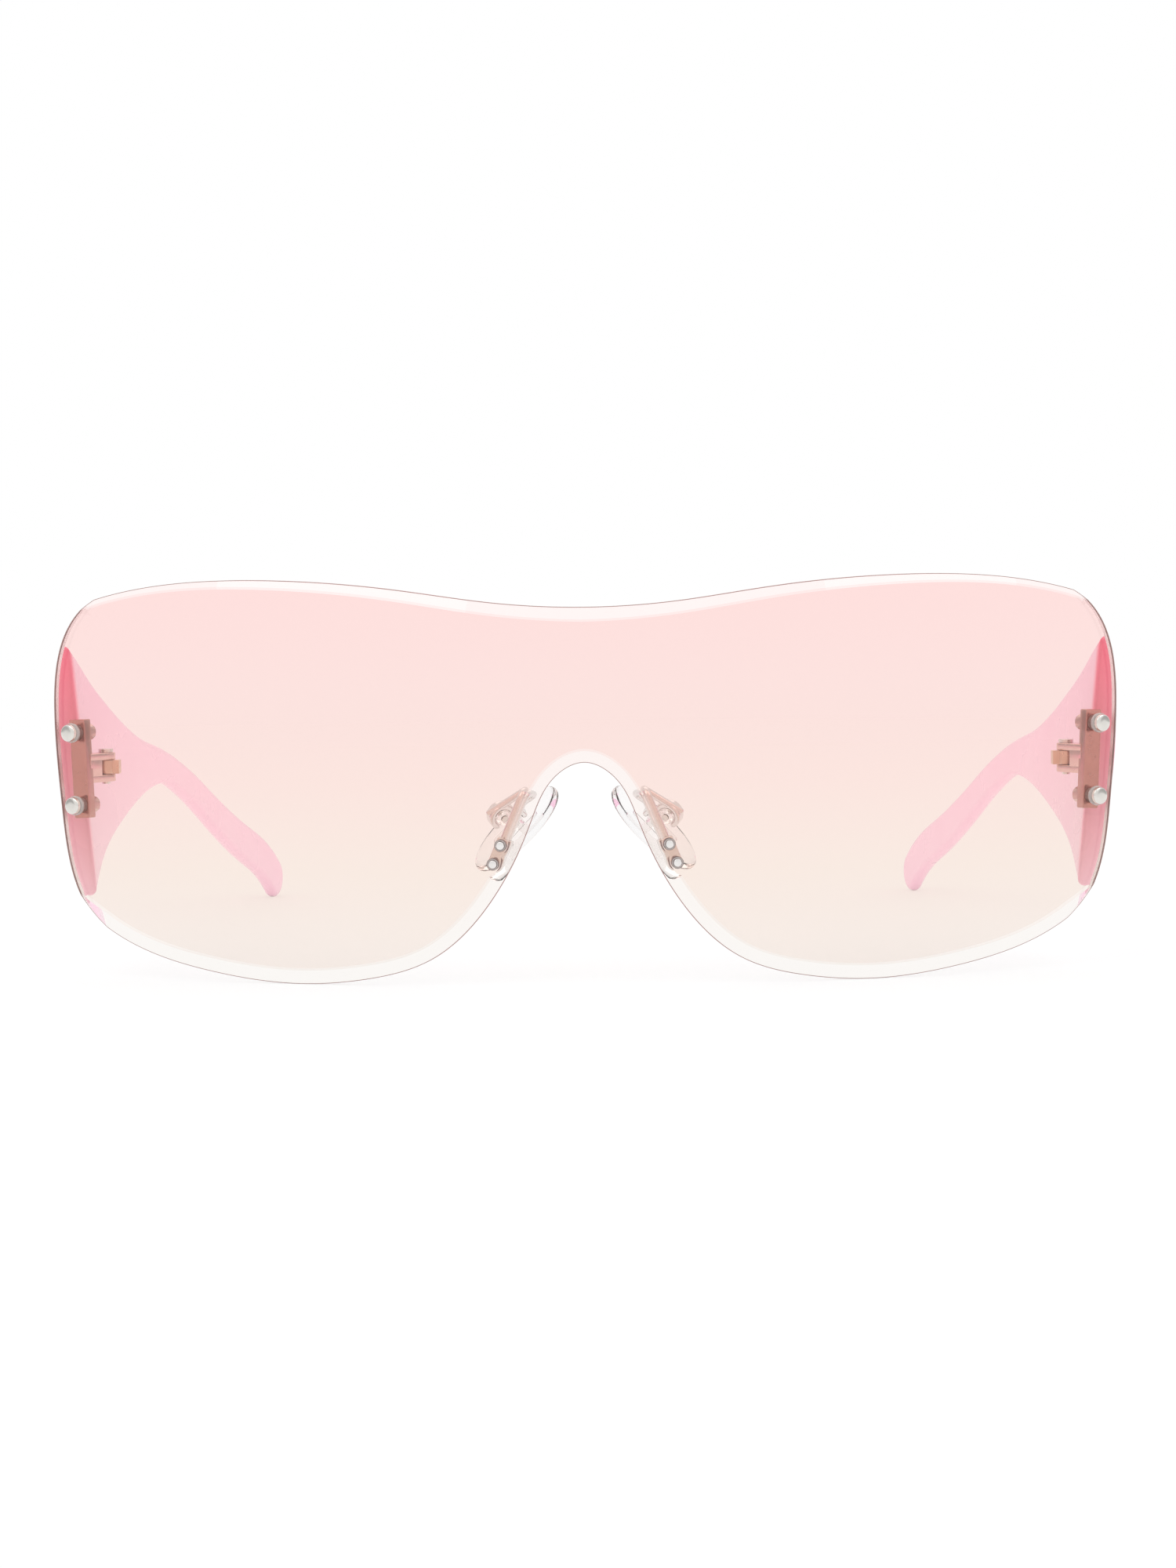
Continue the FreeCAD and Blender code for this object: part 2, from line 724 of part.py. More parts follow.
def section_wire(section):
    return [
        Part.LineSegment(section.inner_low, section.inner_high).toShape(),
        Part.Arc(section.inner_high, section.top, section.outer_high).toShape(),
        Part.Arc(section.outer_high, section.outer, section.outer_low).toShape(),
        Part.Arc(section.outer_low, section.bottom, section.inner_low).toShape(),
    ]


def build_temple(pocket_body):
    rows = temple_stations()
    sections = []
    for index, (y, middle, flare, swell) in enumerate(rows):
        before = rows[max(index - 1, 0)]
        after = rows[min(index + 1, len(rows) - 1)]
        pitch = math.atan2(after[1] - before[1], after[0] - before[0])
        if y < temple_front_y + slope_start_share * (back_y - temple_front_y):
            pitch = 0
        sections.append(temple_section(y, middle, flare, swell, pitch))
    wires = [wire_feature(f"temple_section_{i}", section_wire(s)) for i, s in enumerate(sections)]
    loft = add("Part::Loft", "temple_loft")
    loft.Sections = wires
    loft.Solid = True
    document.recompute()

    # Rounded end: the last section's upper half turned about its middle
    last = sections[-1]
    outer_arc = Part.Arc(last.outer_high, last.outer, last.outer_low)
    middle_parameter = outer_arc.parameter(last.outer)
    upper_outer = outer_arc.toShape(outer_arc.FirstParameter, middle_parameter)
    half_section = wire_feature("temple_tip_section", [
        Part.LineSegment(last.centre, last.inner_high).toShape(),
        Part.Arc(last.inner_high, last.top, last.outer_high).toShape(),
        upper_outer,
        Part.LineSegment(last.outer, last.centre).toShape(),
    ])
    tip = add("Part::Revolution", "temple_tip")
    tip.Source = half_section
    tip.Axis = last.over * -1
    tip.Base = last.centre
    tip.Angle = 180
    tip.Solid = True
    whole = group("Part::MultiFuse", "temple_whole", [loft, tip])
    return cut("temple", whole, pocket_body)


def build_nose_plate():
    body = add("PartDesign::Body", "nose_plate_body")
    half_pitch = size.stud_pitch / 2
    half_plate = size.nose_plate_width / 2
    top = half_pitch + size.nose_plate_end
    strip = sketch_on(body, "nose_strip", "XZ_Plane")
    corners = ((half_plate, -half_pitch), (half_plate, top), (-half_plate, top), (-half_plate, -half_pitch))
    draw_polygon(strip, corners)
    pad(body, strip, size.nose_plate_thickness, reverse=True)
    rounded = sketch_on(body, "nose_strip_end", "XZ_Plane")
    draw_circle(rounded, 0, -half_pitch, half_plate)
    pad(body, rounded, size.nose_plate_thickness, reverse=True)
    reach = size.seat_clearance + size.lens_thickness + size.stud_proud
    for name, up in (("upper", half_pitch), ("lower", -half_pitch)):
        stud = sketch_on(body, f"{name}_stud", "XZ_Plane")
        draw_circle(stud, 0, up, size.stud_diameter / 2)
        pad(body, stud, reach)
    body.Placement = nose_frame
    return body


def build_sleeves():
    start = -float(size.seat_clearance + size.lens_thickness)
    sleeves = []
    for index, frame in enumerate(stud_frames):
        seat = along_frame(frame, start)
        outside = cylinder(f"sleeve_outside_{index}", sleeve_radius, size.lens_thickness, seat)
        bore = cylinder(
            f"sleeve_bore_{index}", size.stud_diameter / 2 + size.fit_clearance,
            size.lens_thickness + size.cut_overrun * 2, along_frame(frame, start - float(size.cut_overrun)),
        )
        sleeves.append(cut(f"sleeve_{index}", outside, bore))
    return group("Part::Compound", "lens_sleeves", sleeves)


# Pad axes: along the pad, square to its face towards the nose, and across it towards the front
lean = math.radians(float(size.pad_lean_angle))
splay = math.radians(float(size.pad_splay_angle))
pad_along = Vector(math.cos(lean), 0, -math.sin(lean))
pad_face = Vector(-math.sin(lean) * math.cos(splay), math.sin(splay), -math.cos(lean) * math.cos(splay))
pad_across = pad_face.cross(pad_along)
pad_turn = Rotation(pad_along, pad_across, pad_face, "ZXY")
pad_base = lens_frame(float(size.pad_offset), float(size.pad_centre_height), 0).Base
pad_base = pad_base + Vector(0, float(size.lens_thickness + size.pad_setback), 0)
pad_frame = Placement(pad_base, pad_turn)
barrel_depth = size.pad_back + size.barrel_standoff
barrel_frame = pad_frame.multiply(Placement(Vector(0, 0, -float(barrel_depth)), Rotation()))
clip_bore = size.barrel_radius + size.barrel_play


def rounded_path(points, radius):
    """Straight runs joined by tangent arcs of one radius."""
    edges = []
    start = points[0]
    for before, corner, after in zip(points, points[1:], points[2:]):
        arriving = (corner - before).normalize()
        leaving = (after - corner).normalize()
        half_turn = arriving.getAngle(leaving) / 2
        cut_back = radius * math.tan(half_turn)
        first = corner - arriving * cut_back
        second = corner + leaving * cut_back
        inward = (leaving - arriving).normalize()
        middle = corner + inward * (radius / math.cos(half_turn) - radius)
        edges.append(Part.LineSegment(start, first).toShape())
        edges.append(Part.Arc(first, middle, second).toShape())
        start = second
    edges.append(Part.LineSegment(start, points[-1]).toShape())
    return edges


def build_pad_arm():
    wire_radius = size.arm_wire_diameter / 2
    lift = float(size.nose_plate_thickness / 2 + size.arm_lift)
    foot = float(size.stud_pitch / 2 + size.nose_plate_end)
    rise = foot + float(size.arm_rise)
    start = nose_frame.multVec(Vector(0, lift, foot))
    top = nose_frame.multVec(Vector(0, lift, rise))
    returned = nose_frame.multVec(Vector(0, lift + float(size.arm_return), rise))
    clip_back = float(clip_bore + size.fit_clearance + wire_radius)
    end = barrel_frame.multVec(Vector(float(size.clip_thickness), 0, -clip_back))
    path_edges = rounded_path([start, top, returned, end], float(size.arm_bend_radius))
    path = wire_feature("pad_arm_path", path_edges)
    section = add("Part::Circle", "pad_arm_section")
    bind(section, "Radius", wire_radius)
    section.Placement = Placement(start, nose_frame.Rotation)
    arm = add("Part::Sweep", "pad_arm_wire")
    arm.Sections = [section]
    arm.Spine = (path, [f"Edge{i + 1}" for i in range(len(path.Shape.Edges))])
    arm.Solid = True
    arm.Frenet = False

    # Open clip: a ring that leaves a gap towards the pad
    half_clip = float(size.clip_width / 2)
    ring_frame = barrel_frame.multiply(Placement(Vector(0, -half_clip, 0), back_turn))
    spun = Rotation(Vector(0, 0, 1), 90 - float(size.clip_wrap_angle) / 2)
    outside = cylinder("clip_outside", clip_bore + size.clip_thickness, size.clip_width, ring_frame)
    outside.Placement = ring_frame.multiply(Placement(Vector(0, 0, 0), spun))
    bind(outside, "Angle", size.clip_wrap_angle)
    overrun = float(size.cut_overrun)
    bore_frame = ring_frame.multiply(Placement(Vector(0, 0, -overrun), Rotation()))
    bore = cylinder("clip_bore", clip_bore, size.clip_width + size.cut_overrun * 2, bore_frame)
    whole = group("Part::MultiFuse", "pad_arm_whole", [arm, outside])
    return cut("pad_arm", whole, bore)


def insert_body(name, clearance):
    """Core plate, post and barrel of the pad; with a clearance, the hollow they fill in the pad."""
    body = add("PartDesign::Body", name + "_body")
    half_core = size.insert_core_length / 2 + clearance
    half_side = size.insert_core_width / 2 + clearance
    core = sketch_on(body, name + "_core", "XY_Plane")
    draw_rectangle(core, half_core, half_side)
    pad(body, core, size.insert_core_thickness + clearance * 2, side="Symmetric")
    post = sketch_on(body, name + "_post", "XZ_Plane")
    half_post = size.insert_post_length / 2 + clearance
    corners = ((half_post, 0), (half_post, -barrel_depth), (-half_post, -barrel_depth), (-half_post, 0))
    draw_polygon(post, corners)
    pad(body, post, size.clip_width + clearance * 2, side="Symmetric")
    return body


def build_pad_insert():
    body = insert_body("pad_insert", 0)
    barrel = sketch_on(body, "pad_barrel", "XZ_Plane")
    draw_circle(barrel, 0, -barrel_depth, size.barrel_radius)
    pad(body, barrel, size.barrel_length, side="Symmetric")
    bore = sketch_on(body, "pad_barrel_bore", "XZ_Plane")
    draw_circle(bore, 0, -barrel_depth, size.pad_pin_diameter / 2 + size.fit_clearance)
    pocket(body, bore, size.barrel_length + size.cut_overrun, side="Symmetric")
    body.Placement = pad_frame
    return body


def build_nose_pad():
    crowned = add("Part::Ellipsoid", "pad_crowned")
    bind(crowned, "Radius1", size.pad_crown)
    bind(crowned, "Radius2", size.pad_length / 2)
    bind(crowned, "Radius3", size.pad_width / 2)
    crowned.Placement = pad_frame
    flat = add("Part::Box", "pad_flat_back")
    bind(flat, "Length", size.pad_length + size.cut_overrun)
    bind(flat, "Width", size.pad_width + size.cut_overrun)
    bind(flat, "Height", size.pad_crown + size.cut_overrun)
    flat_floor = -float(size.pad_back) - float(flat.Height)
    corner = Vector(-float(flat.Length) / 2, -float(flat.Width) / 2, flat_floor)
    flat.Placement = pad_frame.multiply(Placement(corner, Rotation()))
    hollow = insert_body("pad_hollow", size.fit_clearance)
    hollow.Placement = pad_frame
    return cut("nose_pad", cut("pad_half", crowned, flat), hollow)


def build_pad_pin():
    length = size.barrel_length + size.pad_pin_end * 2
    seat = along_frame(barrel_frame, -float(length / 2))
    return cylinder("pad_pin", size.pad_pin_diameter / 2, length, seat)


build_lens()
temple_pocket = leaf_body("leaf_pocket", size.fit_clearance)
left_pieces = {
    "bracket": build_bracket(),
    "bracket_bolts": build_bolt_pair(),
    "bracket_bushings": build_bushing_pair(),
    "bracket_nuts": build_nut_pair(),
    "hinge_screw": build_hinge_screw(),
    "hinge_leaf": leaf_body("hinge_leaf", 0),
    "temple": build_temple(temple_pocket),
    "nose_plate": build_nose_plate(),
    "lens_sleeves": build_sleeves(),
    "pad_arm": build_pad_arm(),
    "nose_pad": build_nose_pad(),
    "pad_insert": build_pad_insert(),
    "pad_pin": build_pad_pin(),
}
for piece_name, piece in left_pieces.items():
    finish(piece, piece_name + "_left")
    twin = mirrored(piece_name + "_twin", piece, Vector(1, 0, 0), Vector(0, 0, 0))
    finish(twin, piece_name + "_right")
document.recompute()

for item in document.Objects:
    if "Invalid" in item.State or "Error" in item.State:
        raise ValueError(f"{item.Label} failed: {item.State}")
for label, item in finished.items():
    if item.Shape.isNull() or not item.Shape.isValid() or not item.Shape.Solids:
        raise ValueError(f"{label} has no valid solid")

os.makedirs("parts", exist_ok=True)
for label, item in finished.items():
    item.Shape.exportStep(f"parts/{label}.step")
    print(label, len(item.Shape.Solids), round(item.Shape.Volume, 3))
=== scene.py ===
import json
import math

import bmesh
import bpy
import numpy as np
from mathutils import Matrix, Vector
from mathutils.geometry import delaunay_2d_cdt


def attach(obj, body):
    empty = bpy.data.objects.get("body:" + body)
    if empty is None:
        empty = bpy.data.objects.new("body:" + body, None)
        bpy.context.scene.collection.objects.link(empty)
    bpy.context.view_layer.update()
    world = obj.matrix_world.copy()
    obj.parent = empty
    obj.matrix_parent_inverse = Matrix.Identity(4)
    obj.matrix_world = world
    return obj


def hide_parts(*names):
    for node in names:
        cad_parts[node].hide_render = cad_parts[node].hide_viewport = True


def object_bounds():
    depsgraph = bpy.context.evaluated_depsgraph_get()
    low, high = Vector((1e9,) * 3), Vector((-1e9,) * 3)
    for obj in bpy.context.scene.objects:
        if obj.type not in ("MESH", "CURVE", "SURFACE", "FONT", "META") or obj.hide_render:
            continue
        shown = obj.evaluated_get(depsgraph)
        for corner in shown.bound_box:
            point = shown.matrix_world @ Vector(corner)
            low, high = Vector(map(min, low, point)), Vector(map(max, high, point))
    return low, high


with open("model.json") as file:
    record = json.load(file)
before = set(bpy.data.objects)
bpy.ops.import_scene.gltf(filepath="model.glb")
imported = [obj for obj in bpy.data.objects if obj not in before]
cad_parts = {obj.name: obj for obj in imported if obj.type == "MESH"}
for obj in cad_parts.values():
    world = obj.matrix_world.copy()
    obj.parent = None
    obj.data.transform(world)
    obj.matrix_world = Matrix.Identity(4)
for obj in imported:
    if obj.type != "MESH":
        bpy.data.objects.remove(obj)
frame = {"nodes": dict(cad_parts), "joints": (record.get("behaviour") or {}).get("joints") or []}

cadLow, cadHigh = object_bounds()
mm = 0.001
clearance = 0.03 * mm  # room round a pin or sleeve in its hole
weldGap, sliver = 0.0008 * mm, 0.0004 * mm
sides = {"left": 1, "right": -1}  # wearer's left is +X
upward = np.array([0.0, 0.0, 1.0])
jointPlace = {joint["name"]: np.array(joint["pos_m"]) for joint in frame["joints"]}
print("frame loaded with", len(frame["nodes"]), "nodes")


# Shapes are pairs: vertices as an array, faces as a list of index arrays

def gridQuads(rows, columns, closed):
    # vertex (row, column) has index row * columns + column; closed joins the last column to the first
    span = columns if closed else columns - 1
    row, column = np.meshgrid(np.arange(rows - 1), np.arange(span), indexing="ij")
    after = (column + 1) % columns
    corners = [row * columns + column, row * columns + after]
    corners += [(row + 1) * columns + after, (row + 1) * columns + column]
    return np.stack(corners, -1).reshape(-1, 4)


def joined(*shapes):
    # shapes side by side in one mesh, each one's indices counted on from the last
    starts = np.cumsum([0] + [len(points) for points, faces in shapes])
    points = np.vstack([points for points, faces in shapes])
    faces = [part + start for shape, start in zip(shapes, starts) for part in shape[1]]
    return points, faces


def mirroredShape(shape):
    # x changes sign, and each face's corners run the other way round
    points, faces = shape
    return points * np.array([-1, 1, 1]), [part[:, ::-1] for part in faces]


def spot(origin, across, along, out):
    # a place with three directions; local columns are measured along them
    return {"origin": np.asarray(origin, float), "axes": np.array([across, along, out], float)}


def placed(place, local):
    # the place's origin plus each local column times its direction
    return place["origin"] + np.asarray(local, float) @ place["axes"]


def lathe(profile, place, turns=48):
    # profile rows (radius, distance) carried round the place's second direction
    profile = np.asarray(profile, float)
    angle = np.linspace(0, 2 * math.pi, turns, endpoint=False)
    radius, distance = profile[:, :1], profile[:, 1:2]
    local = np.stack([radius * np.cos(angle), distance + 0 * angle, radius * np.sin(angle)], -1)
    return placed(place, local.reshape(-1, 3)), [gridQuads(len(profile), turns, True)]


def ringLathe(points, radius, place, turns=48):
    # a closed section with softened corners, carried round the place's second direction
    ring = softened(points, radius, 4)
    return lathe(np.vstack([ring, ring[:1]]), place, turns)


def softened(points, radius, steps=5, closed=True):
    # each corner of a polyline becomes a parabola that leaves it by no more than 0.45 of the shorter run beside it
    points = np.asarray(points, float)
    count = len(points)
    rows = []
    for index in range(count):
        if not closed and index in (0, count - 1):
            rows.append(points[index][None])
            continue
        corner = points[index]
        back = points[index - 1] - corner
        ahead = points[(index + 1) % count] - corner
        backLength, aheadLength = np.linalg.norm(back), np.linalg.norm(ahead)
        back, ahead = back / backLength, ahead / aheadLength
        half = math.acos(np.clip(back @ ahead, -1, 1)) / 2
        cut = min(radius / max(math.tan(half), 1e-6), 0.45 * min(backLength, aheadLength))
        share = np.linspace(0, 1, steps)[:, None]
        start, end = corner + back * cut, corner + ahead * cut
        rows.append((1 - share) ** 2 * start + 2 * share * (1 - share) * corner + share ** 2 * end)
    return np.vstack(rows)


def insideLoop(points, loop):
    # even-odd rule, over all the loop's edges at once
    x, z = points[:, 0, None], points[:, 1, None]
    x0, z0 = loop[:, 0], loop[:, 1]
    x1, z1 = np.roll(x0, -1), np.roll(z0, -1)
    crosses = (z0 > z) != (z1 > z)
    with np.errstate(divide="ignore", invalid="ignore"):
        hit = x < x0 + (z - z0) * (x1 - x0) / (z1 - z0)
    return (crosses & hit).sum(1) % 2 == 1


def fillLoops(loops, inner=None):
    # Delaunay triangles inside the first loop and outside the others; inner points keep them small
    inner = np.zeros((0, 2)) if inner is None else inner
    points = np.vstack(list(loops) + [inner])
    edges, start = [], 0
    for loop in loops:
        index = np.arange(len(loop))
        edges.append(np.stack([start + index, start + (index + 1) % len(loop)], -1))
        start += len(loop)
    scaled = [Vector(point) for point in (points / mm).tolist()]
    kind, nearBy = 5, 1e-7  # faces within the edges; holes are emptied below
    found = delaunay_2d_cdt(scaled, np.vstack(edges).tolist(), [], kind, nearBy)
    origin = np.array([source[0] for source in found[3]])
    triangles = origin[np.array(found[2])]
    middles = points[triangles].mean(1)
    for hole in loops[1:]:
        within = insideLoop(middles, hole)
        triangles, middles = triangles[~within], middles[~within]
    return points, triangles


def insetLoop(loop, distance):
    # every point of a closed loop moved square to it, inwards on a counter-clockwise loop
    run = np.roll(loop, -1, 0) - np.roll(loop, 1, 0)
    run /= np.linalg.norm(run, axis=1, keepdims=True)
    return loop + np.stack([-run[:, 1], run[:, 0]], -1) * distance


def plate(loops, low, high, bevel, place, steps=4):
    # flat piece: loops lie in the place's first two directions, its thickness runs along the third
    outer, holes = loops[0], list(loops[1:])
    turn = np.linspace(0, math.pi / 2, steps)
    inset, rise = bevel * (1 - np.sin(turn)), bevel * (1 - np.cos(turn))
    rings = [(insetLoop(outer, a), low + b) for a, b in zip(inset, rise)]
    rings += [(insetLoop(outer, a), high - b) for a, b in zip(inset[::-1], rise[::-1])]
    wall = np.vstack([np.column_stack([ring, np.full(len(ring), level)]) for ring, level in rings])
    shapes = [(wall, [gridQuads(len(rings), len(outer), True)])]
    for hole in holes:
        bore = np.vstack([np.column_stack([hole, np.full(len(hole), level)]) for level in (high, low)])
        shapes.append((bore, [gridQuads(2, len(hole), True)]))
    flat, triangles = fillLoops([rings[0][0]] + holes)
    for level, order in ((low, -1), (high, 1)):
        shapes.append((np.column_stack([flat, np.full(len(flat), level)]), [triangles[:, ::order]]))
    points, faces = joined(*shapes)
    return placed(place, points), faces


def arcLoop(radius, angle, centre=(0, 0)):
    # points at the given angles round a centre
    return np.stack([centre[0] + radius * np.cos(angle), centre[1] + radius * np.sin(angle)], -1)


def circleLoop(radius, centre=(0, 0), count=40):
    return arcLoop(radius, np.linspace(0, 2 * math.pi, count, endpoint=False), centre)


def boxLoop(left, right, low, high, radius):
    # rectangle with softened corners, counter-clockwise
    return softened([(left, low), (right, low), (right, high), (left, high)], radius)


def smoothThrough(points, count):
    # cubic spline through the points on chord length; its third derivative runs on past the first and last knots
    points = np.asarray(points, float)
    chord = np.concatenate([[0], np.cumsum(np.linalg.norm(np.diff(points, axis=0), axis=1))])
    gap = np.diff(chord)
    last = len(points) - 1
    matrix, right = np.zeros((last + 1, last + 1)), np.zeros_like(points)
    row = np.arange(1, last)
    matrix[row, row - 1], matrix[row, row], matrix[row, row + 1] = gap[:-1], 2 * (gap[:-1] + gap[1:]), gap[1:]
    slope = np.diff(points, axis=0) / gap[:, None]
    right[row] = 6 * (slope[1:] - slope[:-1])
    matrix[0, :3] = gap[1], -gap[0] - gap[1], gap[0]
    matrix[last, -3:] = gap[-1], -gap[-1] - gap[-2], gap[-2]
    bend = np.linalg.solve(matrix, right)
    at = np.linspace(0, chord[-1], count)
    knot = np.clip(np.searchsorted(chord, at, side="right") - 1, 0, last - 1)
    b = ((at - chord[knot]) / gap[knot])[:, None]
    a = 1 - b
    curve = a * points[knot] + b * points[knot + 1]
    pull = (a ** 3 - a) * bend[knot] + (b ** 3 - b) * bend[knot + 1]
    return curve + pull * gap[knot][:, None] ** 2 / 6


def tubeAlong(path, radius, turns=20, capSteps=5):
    # a circle carried along a path on frames that never twist, with half-round ends
    path = np.asarray(path, float)
    run = np.gradient(path, axis=0)
    run /= np.linalg.norm(run, axis=1, keepdims=True)
    side = np.cross(run[0], upward)
    side /= np.linalg.norm(side)
    rows = []
    for heading in run:
        side = side - heading * (side @ heading)
        side = side / np.linalg.norm(side)
        rows.append(side)
    rows = np.array(rows)
    turn = np.linspace(0, math.pi / 2, capSteps, endpoint=False)[1:]
    cap = np.concatenate([[math.pi / 2], turn[::-1]])
    start = path[0] - run[0] * radius * np.sin(cap)[:, None]
    end = path[-1] + run[-1] * radius * np.sin(cap[::-1])[:, None]
    centre = np.vstack([start, path, end])
    width = np.concatenate([radius * np.cos(cap), np.full(len(path), radius), radius * np.cos(cap[::-1])])
    side = np.vstack([np.repeat(rows[:1], len(cap), 0), rows, np.repeat(rows[-1:], len(cap), 0)])
    heading = np.vstack([np.repeat(run[:1], len(cap), 0), run, np.repeat(run[-1:], len(cap), 0)])
    other = np.cross(heading, side)
    angle = np.linspace(0, 2 * math.pi, turns, endpoint=False)
    ring = side[:, None] * np.cos(angle)[:, None] + other[:, None] * np.sin(angle)[:, None]
    points = centre[:, None] + ring * width[:, None, None]
    return points.reshape(-1, 3), [gridQuads(len(centre), turns, True)]


def putPiece(name, shape, body, slot, material, nodes, sharp=35, zone=None, others=()):
    # a closed mesh at the origin, riding on its body in place of its CAD nodes
    points, faces = shape
    mesh = bpy.data.meshes.new(name)
    mesh.from_pydata(points.tolist(), [], [face for part in faces for face in part.tolist()])
    if zone is not None:
        mesh.attributes.new("zone", "FLOAT", "FACE").data.foreach_set("value", zone.astype(np.float32))
    work = bmesh.new()
    work.from_mesh(mesh)
    bmesh.ops.remove_doubles(work, verts=work.verts, dist=weldGap)
    bmesh.ops.dissolve_degenerate(work, edges=work.edges, dist=sliver)
    bmesh.ops.recalc_face_normals(work, faces=work.faces)
    work.to_mesh(mesh)
    work.free()
    mesh.shade_smooth()
    mesh.set_sharp_from_angle(angle=math.radians(sharp))
    mesh.materials.append(material)
    if others:  # faces of zone 2 and up take the other materials in turn
        marks = np.zeros(len(mesh.polygons), np.float32)
        mesh.attributes["zone"].data.foreach_get("value", marks)
        for other in others:
            mesh.materials.append(other)
        mesh.polygons.foreach_set("material_index", np.maximum(np.rint(marks) - 1, 0).astype(np.int32))
    piece = bpy.data.objects.new(name, mesh)
    bpy.context.scene.collection.objects.link(piece)
    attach(piece, body)
    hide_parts(*nodes)
    return piece


def putPair(name, shape, body, slot, material, sharp=35, zone=None):
    # the left piece and its mirror image; body may hold the side's name
    for side, sign in sides.items():
        sided = shape if sign > 0 else mirroredShape(shape)
        node = f"{name}_{side}"
        yield putPiece(f"{node}_look", sided, body.format(side), slot, material, [node], sharp, zone)


# Shader helpers

def newMaterial(name):
    material = bpy.data.materials.new(name)
    material.use_nodes = True
    tree = material.node_tree
    tree.nodes.clear()
    output = tree.nodes.new("ShaderNodeOutputMaterial")
    shader = tree.nodes.new("ShaderNodeBsdfPrincipled")
    tree.links.new(shader.outputs["BSDF"], output.inputs["Surface"])
    return material, tree, shader, output


def setSockets(node, **values):
    for name, value in values.items():
        node.inputs[name.replace("_", " ")].default_value = value


def objectCoordinates(tree):
    return tree.nodes.new("ShaderNodeTexCoord").outputs["Object"]


def feed(tree, socket, value):
    # a socket takes a link from another socket, or a plain value
    if isinstance(value, bpy.types.NodeSocket):
        tree.links.new(value, socket)
    else:
        socket.default_value = value


def mixColours(tree, factor, first, second):
    mix = tree.nodes.new("ShaderNodeMix")
    mix.data_type = "RGBA"
    for name, value in (("Factor", factor), ("A", first), ("B", second)):
        feed(tree, mix.inputs[name], value)
    return mix.outputs["Result"]


def mixShaders(tree, factor, first, second):
    mix = tree.nodes.new("ShaderNodeMixShader")
    for socket, value in zip(mix.inputs, (factor, first, second)):
        tree.links.new(value, socket)
    return mix.outputs["Shader"]


def calculated(tree, operation, *values, clamped=False):
    node = tree.nodes.new("ShaderNodeMath")
    node.operation = operation
    node.use_clamp = clamped
    for socket, value in zip(node.inputs, values):
        feed(tree, socket, value)
    return node.outputs["Value"]


def mapped(tree, value, kind="LINEAR", **ends):
    node = tree.nodes.new("ShaderNodeMapRange")
    node.interpolation_type = kind
    setSockets(node, **ends)
    tree.links.new(value, node.inputs["Value"])
    return node.outputs["Result"]


def alongAxis(tree, vector, axis):
    split = tree.nodes.new("ShaderNodeSeparateXYZ")
    tree.links.new(vector, split.inputs["Vector"])
    return split.outputs[axis]


def zoneMask(tree):
    zone = tree.nodes.new("ShaderNodeAttribute")
    zone.attribute_name = "zone"
    return zone.outputs["Fac"]


def rgba(red, green, blue):
    return (red, green, blue, 1.0)


def makeGrainGroup():
    # fine moulding or polishing grain: a noise height, and a slower noise that shifts the roughness
    tree = bpy.data.node_groups.new("surfaceGrain", "ShaderNodeTree")
    for name, kind, value in (("Vector", "NodeSocketVector", None), ("Grain Scale", "NodeSocketFloat", 4000.0),
                              ("Patch Scale", "NodeSocketFloat", 90.0), ("Roughness Low", "NodeSocketFloat", 0.2),
                              ("Roughness High", "NodeSocketFloat", 0.3)):
        socket = tree.interface.new_socket(name, in_out="INPUT", socket_type=kind)
        if value is not None:
            socket.default_value = value
    tree.interface.new_socket("Height", in_out="OUTPUT", socket_type="NodeSocketFloat")
    tree.interface.new_socket("Roughness", in_out="OUTPUT", socket_type="NodeSocketFloat")
    tree.interface.new_socket("Patches", in_out="OUTPUT", socket_type="NodeSocketFloat")
    source = tree.nodes.new("NodeGroupInput")
    result = tree.nodes.new("NodeGroupOutput")
    grain = tree.nodes.new("ShaderNodeTexNoise")
    patches = tree.nodes.new("ShaderNodeTexNoise")
    setSockets(grain, Detail=4.0, Roughness=0.6)
    setSockets(patches, Detail=3.0, Roughness=0.5)
    spread = tree.nodes.new("ShaderNodeMapRange")
    setSockets(spread, From_Min=0.3, From_Max=0.7)
    for a, b in ((source.outputs["Vector"], grain.inputs["Vector"]),
                 (source.outputs["Vector"], patches.inputs["Vector"]),
                 (source.outputs["Grain Scale"], grain.inputs["Scale"]),
                 (source.outputs["Patch Scale"], patches.inputs["Scale"]),
                 (patches.outputs["Fac"], spread.inputs["Value"]),
                 (source.outputs["Roughness Low"], spread.inputs["To Min"]),
                 (source.outputs["Roughness High"], spread.inputs["To Max"]),
                 (grain.outputs["Fac"], result.inputs["Height"]),
                 (spread.outputs["Result"], result.inputs["Roughness"]),
                 (patches.outputs["Fac"], result.inputs["Patches"])):
        tree.links.new(a, b)
    return tree


grainGroup = makeGrainGroup()


def addGrain(tree, shader, grainScale, patchScale, low, high, bumpStrength, bumpDistance):
    # roughness wanders from low to high in slow patches, and the grain's height feeds a bump
    grain = tree.nodes.new("ShaderNodeGroup")
    grain.node_tree = grainGroup
    tree.links.new(objectCoordinates(tree), grain.inputs["Vector"])
    setSockets(grain, Grain_Scale=grainScale, Patch_Scale=patchScale, Roughness_Low=low, Roughness_High=high)
    tree.links.new(grain.outputs["Roughness"], shader.inputs["Roughness"])
    bump = tree.nodes.new("ShaderNodeBump")
    setSockets(bump, Strength=bumpStrength, Distance=bumpDistance)
    tree.links.new(grain.outputs["Height"], bump.inputs["Height"])
    tree.links.new(bump.outputs["Normal"], shader.inputs["Normal"])
    return grain


